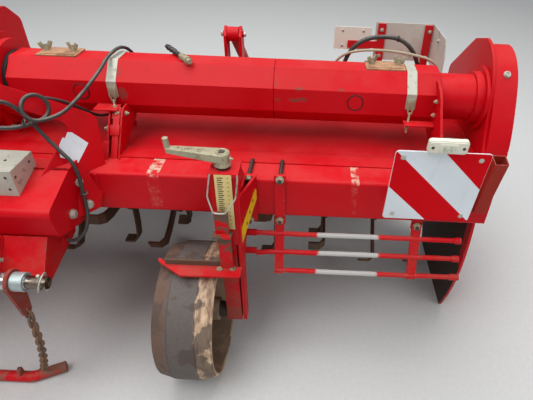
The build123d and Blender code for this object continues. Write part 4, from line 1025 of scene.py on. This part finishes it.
def make_rod_ends():
    """The thicker welded ends of the rods."""
    ends = [(62, 1052, 1092), (132, 1046, 1092)]
    ends += [(down, 1786, path[-1][0]) for down, path in GUARD_RODS.items()]
    bm = bmesh.new()
    for down, start, end in ends:
        y, z = guard_line(down)
        bar(bm, (start, y, z), (end, y, z), 11.9)
    finish_piece("rod_ends", bm, "red_guard")


# Depth units: scales, strips, bails, clamps round the tube, cranks and bolts

WING_START = Vector((1060, -785, 775))
WING_END = Vector((1095, -660, 775))
CLAMP_XS = (973, 1069, *GUARD_XS)
HANDS = (("right", 1), ("left", -1))


def make_scales():
    bm = bmesh.new()
    slab(bm, (995, -804.4, 669), (1045, -803.0, 868), 0.4)
    finish_piece("depth_scales", bm, "scale_yellow")
    bm = bmesh.new()
    for i in range(24):
        z = 858 - i * 7.6
        width = 13 if i % 2 else 17
        slab(bm, (1003, -804.9, z - 1.5), (1003 + width, -804.2, z + 1.5), 0.1)
        if i % 2 == 0:
            slab(bm, (1032, -804.9, z - 1.2), (1036, -804.2, z + 1.2), 0.1)
    finish_piece("scale_marks", bm, "black_plastic")


def make_yellow_strips():
    """A torn yellow strip on the slanted wing of each depth guide, with dark marks on it."""
    length = (WING_END - WING_START).length
    along = (WING_END - WING_START).normalized()
    turn = Matrix((along, UP, along.cross(UP))).transposed().to_4x4()
    place = Matrix.Translation(WING_START) @ turn
    bm = bmesh.new()
    flat(bm, [(length - 3, -88), (length - 3, -50), (length - 10, -42), (2, -118), (2, -180)], place,
         0.3, 0.5)
    finish_piece("yellow_strips", bm, "strip_yellow")
    bm = bmesh.new()
    for share in (0.2, 0.45, 0.7):
        x = length - 14 - share * (length - 26)
        y = -50 - share * 110
        flat(bm, [(x - 3, y + 4), (x + 5, y + 2), (x + 2, y - 8), (x - 5, y - 6)], place, 0.7, 0.4)
    finish_piece("strip_marks", bm, "black_plastic")


def make_depth_details():
    bm = bmesh.new()
    wire(bm, [(984, -806, 870), (982, -808, 862), (975, -820, 812), (974, -821, 804), (976, -824, 796),
              (988, -837, 765), (990, -838, 758), (998, -838.5, 755), (1020, -838.5, 755),
              (1028, -838, 759), (1032, -837, 766), (1054, -824, 796), (1057, -821, 804),
              (1058, -820, 812), (1064, -808, 862), (1062, -806, 870)], 2.4)
    finish_piece("pointer_bails", bm, "zinc")
    clamps, nuts = bmesh.new(), bmesh.new()
    loop = [(-676, 763), (-620, 763), (-560, 763), (-540, 763), (-532, 756), (-530, 740),
            (-530, 618), (-532, 602), (-540, 595), (-560, 595), (-620, 595), (-676, 595)]
    for x in CLAMP_XS:
        wire(clamps, [(x, y, z) for y, z in loop], 7.0)
        front = -658 if x in GUARD_XS else -660
        hex_bolts(nuts, [(x, front, 763), (x, front, 595)], FRONT, 12)
    finish_piece("tube_clamps", clamps, "dark_steel")
    finish_piece("clamp_nuts", nuts, "passivated")
    bm = bmesh.new()
    for x in GUARD_XS:
        for low, high in ((748, 778), (580, 612)):
            slab(bm, (x - 19, -658, low), (x + 19, -646, high), 2.0)
    finish_piece("guard_tabs", bm, "red_paint")
    bm = bmesh.new()
    slab(bm, (1054, -740, 775), (1064, -662, 790), 2.0)
    finish_piece("guide_ribs", bm, "red_paint")


def make_cranks():
    """Cast crank: a tapered arm with a ribbed edge, its hub on the spindle and a short handle."""
    pivot, tip = Vector((LEG_X, WHEEL[1], 0)), Vector((857, -743, 0))
    bm = bmesh.new()
    rims = []
    for at, radius, low, high in ((pivot, 23, 896, 920), (pivot, 21.5, 894, 922), (tip, 11, 902, 916),
                                  (tip, 9.5, 901, 917.5)):
        for z in (low, high):
            made = bmesh.ops.create_circle(bm, segments=28, radius=radius)["verts"]
            bmesh.ops.translate(bm, verts=made, vec=at + UP * z)
            rims += made
    done = bmesh.ops.convex_hull(bm, input=rims)
    bmesh.ops.delete(bm, geom=verts_of(done["geom_interior"]), context="VERTS")
    to_metres(bm, bm.verts)
    stud(bm, pivot + UP * 881, UP, 25, 13, top=22, sides=32)
    torus(bm, pivot + UP * 922, UP, 15.5, 3.2)
    wire(bm, [(866, -743, 909), (858, -743, 909), (853, -743, 915), (852, -743, 930),
              (851, -743, 946)], 8.6)
    cup_bolt(bm, (851, -743, 945), (-0.06, 0, 1), 8.8)
    for share, out, size in ((-0.10, 4, 6.5), (-0.16, -5, 5.5)):
        at = pivot.lerp(tip, share) + Vector((0, out, 906))
        hex_bolt(bm, at, (0.94, -0.2, 0.1), size, washer=False, thread=5)
    finish_piece("crank_arms", bm, "passivated", instead_of="depth_cranks")
    bm = bmesh.new()
    stud(bm, pivot + UP * 870, UP, 20, 12, sides=28)
    # The dark hexagon inside the hub's ring is painted shade of the open hole in the hub's top
    stud(bm, pivot + UP * 920, UP, 12.5, 4.2, top=9, sides=6)
    for i in range(9):
        at = pivot.lerp(tip, 0.30 + i * 0.064) + UP * (920.0 - i * 0.28)
        stud(bm, at, UP, 2.0 + (i % 3) * 0.4, 1.2, sides=10)
    finish_piece("crank_marks", bm, "dark_steel", instead_of="depth_cranks")


def make_scraper_bolts(hand, side):
    bm = bmesh.new()
    for x, y in ((987, -824), (1030, -821)):
        cup_bolt(bm, (side * x, y, 514), UP, 10)
        hex_bolt(bm, (side * x, y, 506), DOWN, 8, thread=6)
    finish_piece("scraper_bolts_" + hand, bm, "passivated", hand + "_leg", both=False)


def make_wheel_bolts(hand, side):
    bm = bmesh.new()
    hex_bolts(bm, circle((side * 832, *WHEEL[1:]), 75), RIGHT * side, 10, thread=7)
    torus(bm, (side * 832.5, *WHEEL[1:]), RIGHT, 130, 3)
    finish_piece("wheel_bolts_" + hand, bm, "zinc", hand + "_wheel", both=False)


def make_tyre(hand, side):
    """A worn tyre: sloped shoulders, a flat band between two grooves, scuffed and lumpy."""
    half, tall = 97.0, WHEEL[2]
    depths = [(-half + 5, 20), (-half + 5, 25), (-half, 25), (-half, 16.5), (-half + 2.5, 13.4),
              (-78, 9.6), (-60, 4.6), (-48, 0.9), (-45, 2.6), (-42.5, 0.5), (-30, 0), (0, 0), (30, 0),
              (42.5, 0.5), (45, 2.6), (48, 0.9), (62, 5.2), (80, 10.4), (half - 3, 14.2),
              (half, 17.5), (half, 25), (half - 5, 25), (half - 5, 20), (0, 20)]
    bm = bmesh.new()
    ring = [bm.verts.new((side * x, 0, depth - tall)) for x, depth in depths]
    edges = [bm.edges.new(pair) for pair in zip(ring, ring[1:] + ring[:1])]
    sweep(bm, edges, RIGHT, 168)
    for vert in bm.verts:
        x, y, z = vert.co
        way = Vector((0, y, z))
        if way.length < tall - 19.0 or z < 26 - tall:
            continue
        lump = noise.noise(Vector((x / 60, y / 75, z / 75)))
        small = noise.noise(Vector((x / 14, y / 16, z / 16)))
        worn = abs(lump) * 2.2 - small * 0.7
        if side * x > 60:
            worn *= 1.7
        vert.co -= way.normalized() * max(0.0, worn)
    bmesh.ops.translate(bm, verts=bm.verts, vec=(side * WHEEL[0], *WHEEL[1:]))
    to_metres(bm, bm.verts)
    finish_piece("tyre_tread_" + hand, bm, "tyre_rubber", hand + "_wheel", both=False,
                 instead_of="tyre_" + hand)


# Warning boards and their lamps, in the plane of the board: X across, Y up it and Z out of it

BOARD_SIZE = 282.0
STRIPE = 100.0
BOARD_PLACE = (Matrix.Translation((1655, -696, 656))
               @ Matrix.Rotation(math.radians(90 + 8.4), 4, "X"))
BOARD_OUT = BOARD_PLACE.to_3x3() @ UP
LAMP_RISE = 310


def make_board_stripes():
    """Slanting stripes across the board, as separate faces of two finishes."""
    half = BOARD_SIZE / 2
    corner = math.sqrt(2) * half
    for name, finish, first in (("stripes_red", "sign_red", 1), ("stripes_white", "sign_plate", 0)):
        bm = bmesh.new()
        bmesh.ops.create_grid(bm, x_segments=1, y_segments=1, size=half - 1.2)
        soften(bm, bm.verts[:], 11, 6, "VERTICES")
        for i in range(1, 4):
            shift = (STRIPE * i - corner) / math.sqrt(2)
            bmesh.ops.bisect_plane(bm, geom=bm.verts[:] + bm.edges[:] + bm.faces[:],
                                   plane_co=(shift, shift, 0), plane_no=(1, 1, 0))
        drop = []
        for face in bm.faces:
            middle = face.calc_center_median()
            along = (middle.x + middle.y) / math.sqrt(2) + corner
            if int(along // STRIPE) % 2 != first:
                drop.append(face)
        bmesh.ops.delete(bm, geom=drop, context="FACES")
        bmesh.ops.solidify(bm, geom=bm.faces[:], thickness=-0.8)
        to_metres(bm, bm.verts, BOARD_PLACE @ Matrix.Translation((0, half, 0)))
        finish_piece(name, bm, finish)
    bm = bmesh.new()
    for x, rise in ((-112, 24), (112, 24), (-116, 258), (112, 258)):
        cup_bolt(bm, BOARD_PLACE @ Vector((x, rise, 0.8)), BOARD_OUT, 8)
        hex_bolt(bm, BOARD_PLACE @ Vector((x, rise, -3.2)), -BOARD_OUT, 7, thread=3)
    finish_piece("board_bolts", bm, "zinc")


def make_lamps():
    """Flat marker lamps: a lipped white body with a raised window, on a strap behind the board."""
    bm = bmesh.new()
    for half_x, half_y, low, high, soft in ((57, 22.5, 1, 15, 9), (54, 19.5, 14, 18, 8),
                                            (27, 14.5, 17, 20.5, 6)):
        made = bmesh.ops.create_grid(bm, x_segments=1, y_segments=1, size=1.0)["verts"]
        bmesh.ops.scale(bm, verts=made, vec=(half_x, half_y, 1))
        before = set(bm.faces) - {face for vert in made for face in vert.link_faces}
        soften(bm, made, soft, 6, "VERTICES")
        new = [face for face in bm.faces if face not in before]
        bmesh.ops.translate(bm, verts=list({vert for face in new for vert in face.verts}),
                            vec=(0, LAMP_RISE, low))
        done = bmesh.ops.extrude_face_region(bm, geom=new, use_keep_orig=True)
        bmesh.ops.translate(bm, verts=verts_of(done["geom"]), vec=(0, 0, high - low))
    rim = [edge for edge in bm.edges if abs(edge.verts[0].co.z - edge.verts[1].co.z) < 0.1
           and edge.verts[0].co.z in (15.0, 18.0, 20.5)]
    soften(bm, rim, 1.6, 3)
    to_metres(bm, bm.verts, BOARD_PLACE)
    finish_piece("lamp_bodies", bm, "lamp_plastic", instead_of="board_lamps")
    bm = bmesh.new()
    slab(bm, (-15, 250, -10), (15, LAMP_RISE + 18, -3.4), 1.5, BOARD_PLACE)
    slab(bm, (-15, LAMP_RISE - 20, -4), (15, LAMP_RISE + 18, 1.2), 0.4, BOARD_PLACE)
    for x in (-44, 44):
        at = BOARD_PLACE @ Vector((x, LAMP_RISE, 18))
        stud(bm, at, BOARD_OUT, 4.6, 1.0)
        stud(bm, at, BOARD_OUT, 3.0, 2.2, sides=6)
    finish_piece("lamp_straps", bm, "dark_steel", instead_of="board_lamps")


# Gear cases and gearbox

def make_case_details():
    filler = Vector((1932, -352, 1034))
    way = Vector((0, -0.72, 0.69))
    bm = bmesh.new()
    stud(bm, filler - way * 3, way, 13, 6, top=12, sides=28)
    torus(bm, filler + way * 3, way, 8, 2.6)
    rim = [(-240, 1062), (-330, 1010), (-392, 905), (-430, 800), (-425, 705), (-370, 600),
           (-285, 470), (-250, 350), (-170, 285), (-85, 350), (-45, 480), (-20, 600), (40, 760),
           (62, 860), (20, 935), (-90, 1010)]
    hex_bolts(bm, [(CASE_FACE, y, z) for y, z in rim], RIGHT, 8)
    hex_bolts(bm, circle((CASE_FACE, *ROTOR), 48), RIGHT, 7)
    finish_piece("case_bolts", bm, "zinc")
    bm = bmesh.new()
    for x, axle, radius, length in ((-2, ROTOR, 70, 5), (-2, (DRIVE_Y, DRIVE_Z), 84, 5),
                                    (2, (DRIVE_Y, DRIVE_Z), 52, 4)):
        stud(bm, (CASE_FACE + x, *axle), RIGHT, radius, length, top=radius - 4, sides=48)
    finish_piece("bearing_caps", bm, "red_paint")
    bm = bmesh.new()
    hex_bolts(bm, [(84, -285, 1160), (84, -215, 1160)], UP, 7)
    hex_bolts(bm, [(x, y, 764) for x in (86, 156) for y in (-376, -114)], UP, 9)
    for turn in (math.radians(30), math.radians(-30)):
        hex_bolt(bm, (50 * math.cos(turn), -385, 880 + 50 * math.sin(turn)), FRONT, 6)
    finish_piece("gearbox_bolts", bm, "zinc")
    bm = bmesh.new()
    hex_bolts(bm, [(95, -370, 812), (-95, -370, 960)], FRONT, 11)
    torus(bm, (0, -120, 930), BACK, 24, 4)
    stud(bm, (0, -121, 930), BACK, 24, 3, sides=32)
    finish_piece("oil_plugs", bm, "passivated", both=False)


# Rear: hinge pins, board bolts and stay pins

def make_rear_details():
    bm = bmesh.new()
    for side in SIDES:
        for x in HINGE_XS:
            stud(bm, (x + side * 21, 185, 760), RIGHT * side, 20, 4, sides=28)
            hex_bolt(bm, (x + side * 25, 185, 760), RIGHT * side, 12, washer=False)
        hex_bolt(bm, (STAY_X + side * 45, 100, 1000), RIGHT * side, 11, washer=False)
    finish_piece("hinge_nuts", bm, "zinc")
    bm = bmesh.new()
    corners = [(x, z) for x in (1552, 1758) for z in (925, 1035)]
    hex_bolts(bm, [(x, 129, z) for x, z in corners], FRONT, 7)
    hex_bolts(bm, [(1775, 20, 925), (1775, 20, 1030)], LEFT, 6, thread=4)
    cups = [((x, 140, z), BACK, 8) for x, z in corners + [(1375, 970), (1480, 970)]]
    cups += [((x, 137, z), FRONT, 6) for x in (1385, 1475) for z in (960, 1025)]
    for at, way, radius in cups:
        cup_bolt(bm, at, way, radius)
    finish_piece("rear_board_bolts", bm, "zinc")
    bolts, welds = bmesh.new(), bmesh.new()
    for x in HINGE_XS:
        hex_bolts(bolts, [(x - 45, 280, 550.5), (x + 45, 280, 550.5)], UP, 10)
        for edge in (x - 17, x + 17):
            wire(welds, [(edge, 322, 500), (edge, 500, 470), (edge, 798, 400)], 2.6)
    for side in SIDES:
        hex_bolt(bolts, (STAY_X + side * 34, 830, 460), RIGHT * side, 11, washer=False)
    finish_piece("ridge_bolts", bolts, "zinc", "ridging_body")
    finish_piece("ridge_welds", welds, "red_worn", "ridging_body")
    bm = bmesh.new()
    way = Vector((0, 730, -540)).normalized()
    top = Vector((STAY_X, 100, 1000))
    stud(bm, top + way * 505, way, 27, 26, sides=32)
    hex_bolt(bm, top + way * 518 + RIGHT * 24, RIGHT, 7)
    finish_piece("stay_clamps", bm, "zinc", "sleeves")


# World and floor

def make_world():
    world = bpy.data.worlds.new("sky")
    world.use_nodes = True
    back = world.node_tree.nodes["Background"].inputs
    back["Color"].default_value = (0.90, 0.95, 1.0, 1.0)
    back["Strength"].default_value = 0.34
    bpy.context.scene.world = world


def make_floor():
    bm = bmesh.new()
    bmesh.ops.create_grid(bm, x_segments=1, y_segments=1, size=40.0)
    floor = new_object("floor", new_mesh("floor", bm))
    tree, shader = new_material("floor_paint")
    speck = cloud(tree, object_point(tree), 60.0, 6.0)
    tree.links.new(mix(tree, speck, (0.50, 0.50, 0.49), (0.60, 0.60, 0.59)), shader["Base Color"])
    shader["Roughness"].default_value = 0.9
    floor.data.materials.append(FINISH["floor_paint"])


# The whole scene in its order

make_camera()
lay_cord("lamp_cable", LAMP_CABLE, 12, "cable_rubber")
lay_cord("side_cable", SIDE_CABLE, 12, "cable_rubber")
lay_cord("pale_hose", PALE_HOSE, 10, "pale_hose")
lay_cord("top_conduit", CONDUIT, 16, "cable_rubber")
lay_cord("top_hose", TOP_HOSE, 10, "pale_hose")
make_lamp("key", (-1.5, -3.6, 7.0), (0.9, -0.3, 0.5), 5.0, 330)
make_lamp("fill", (5.0, -4.0, 5.5), (0.9, -0.3, 0.5), 4.5, 110)
make_lamp("top", (0.8, 1.0, 6.5), (0.8, 0.0, 0.5), 6.0, 330)
make_world()
make_floor()
make_headstock_bolts()
make_weld_beads()
make_cover_details()
make_hood_lip()
make_rod_ends()
make_blank_label()
make_strap_tensioners()
make_plug_coupling()
make_scales()
make_yellow_strips()
make_depth_details()
make_cranks()
make_lamps()
make_uprights()
make_guards()
for hand, side in HANDS:
    make_tyre(hand, side)
for hand, side in HANDS:
    make_scraper_bolts(hand, side)
    make_wheel_bolts(hand, side)
make_hitch_details()
make_board_stripes()
make_case_details()
make_rear_details()
make_ties()
bpy.context.scene.view_settings.view_transform = "Standard"
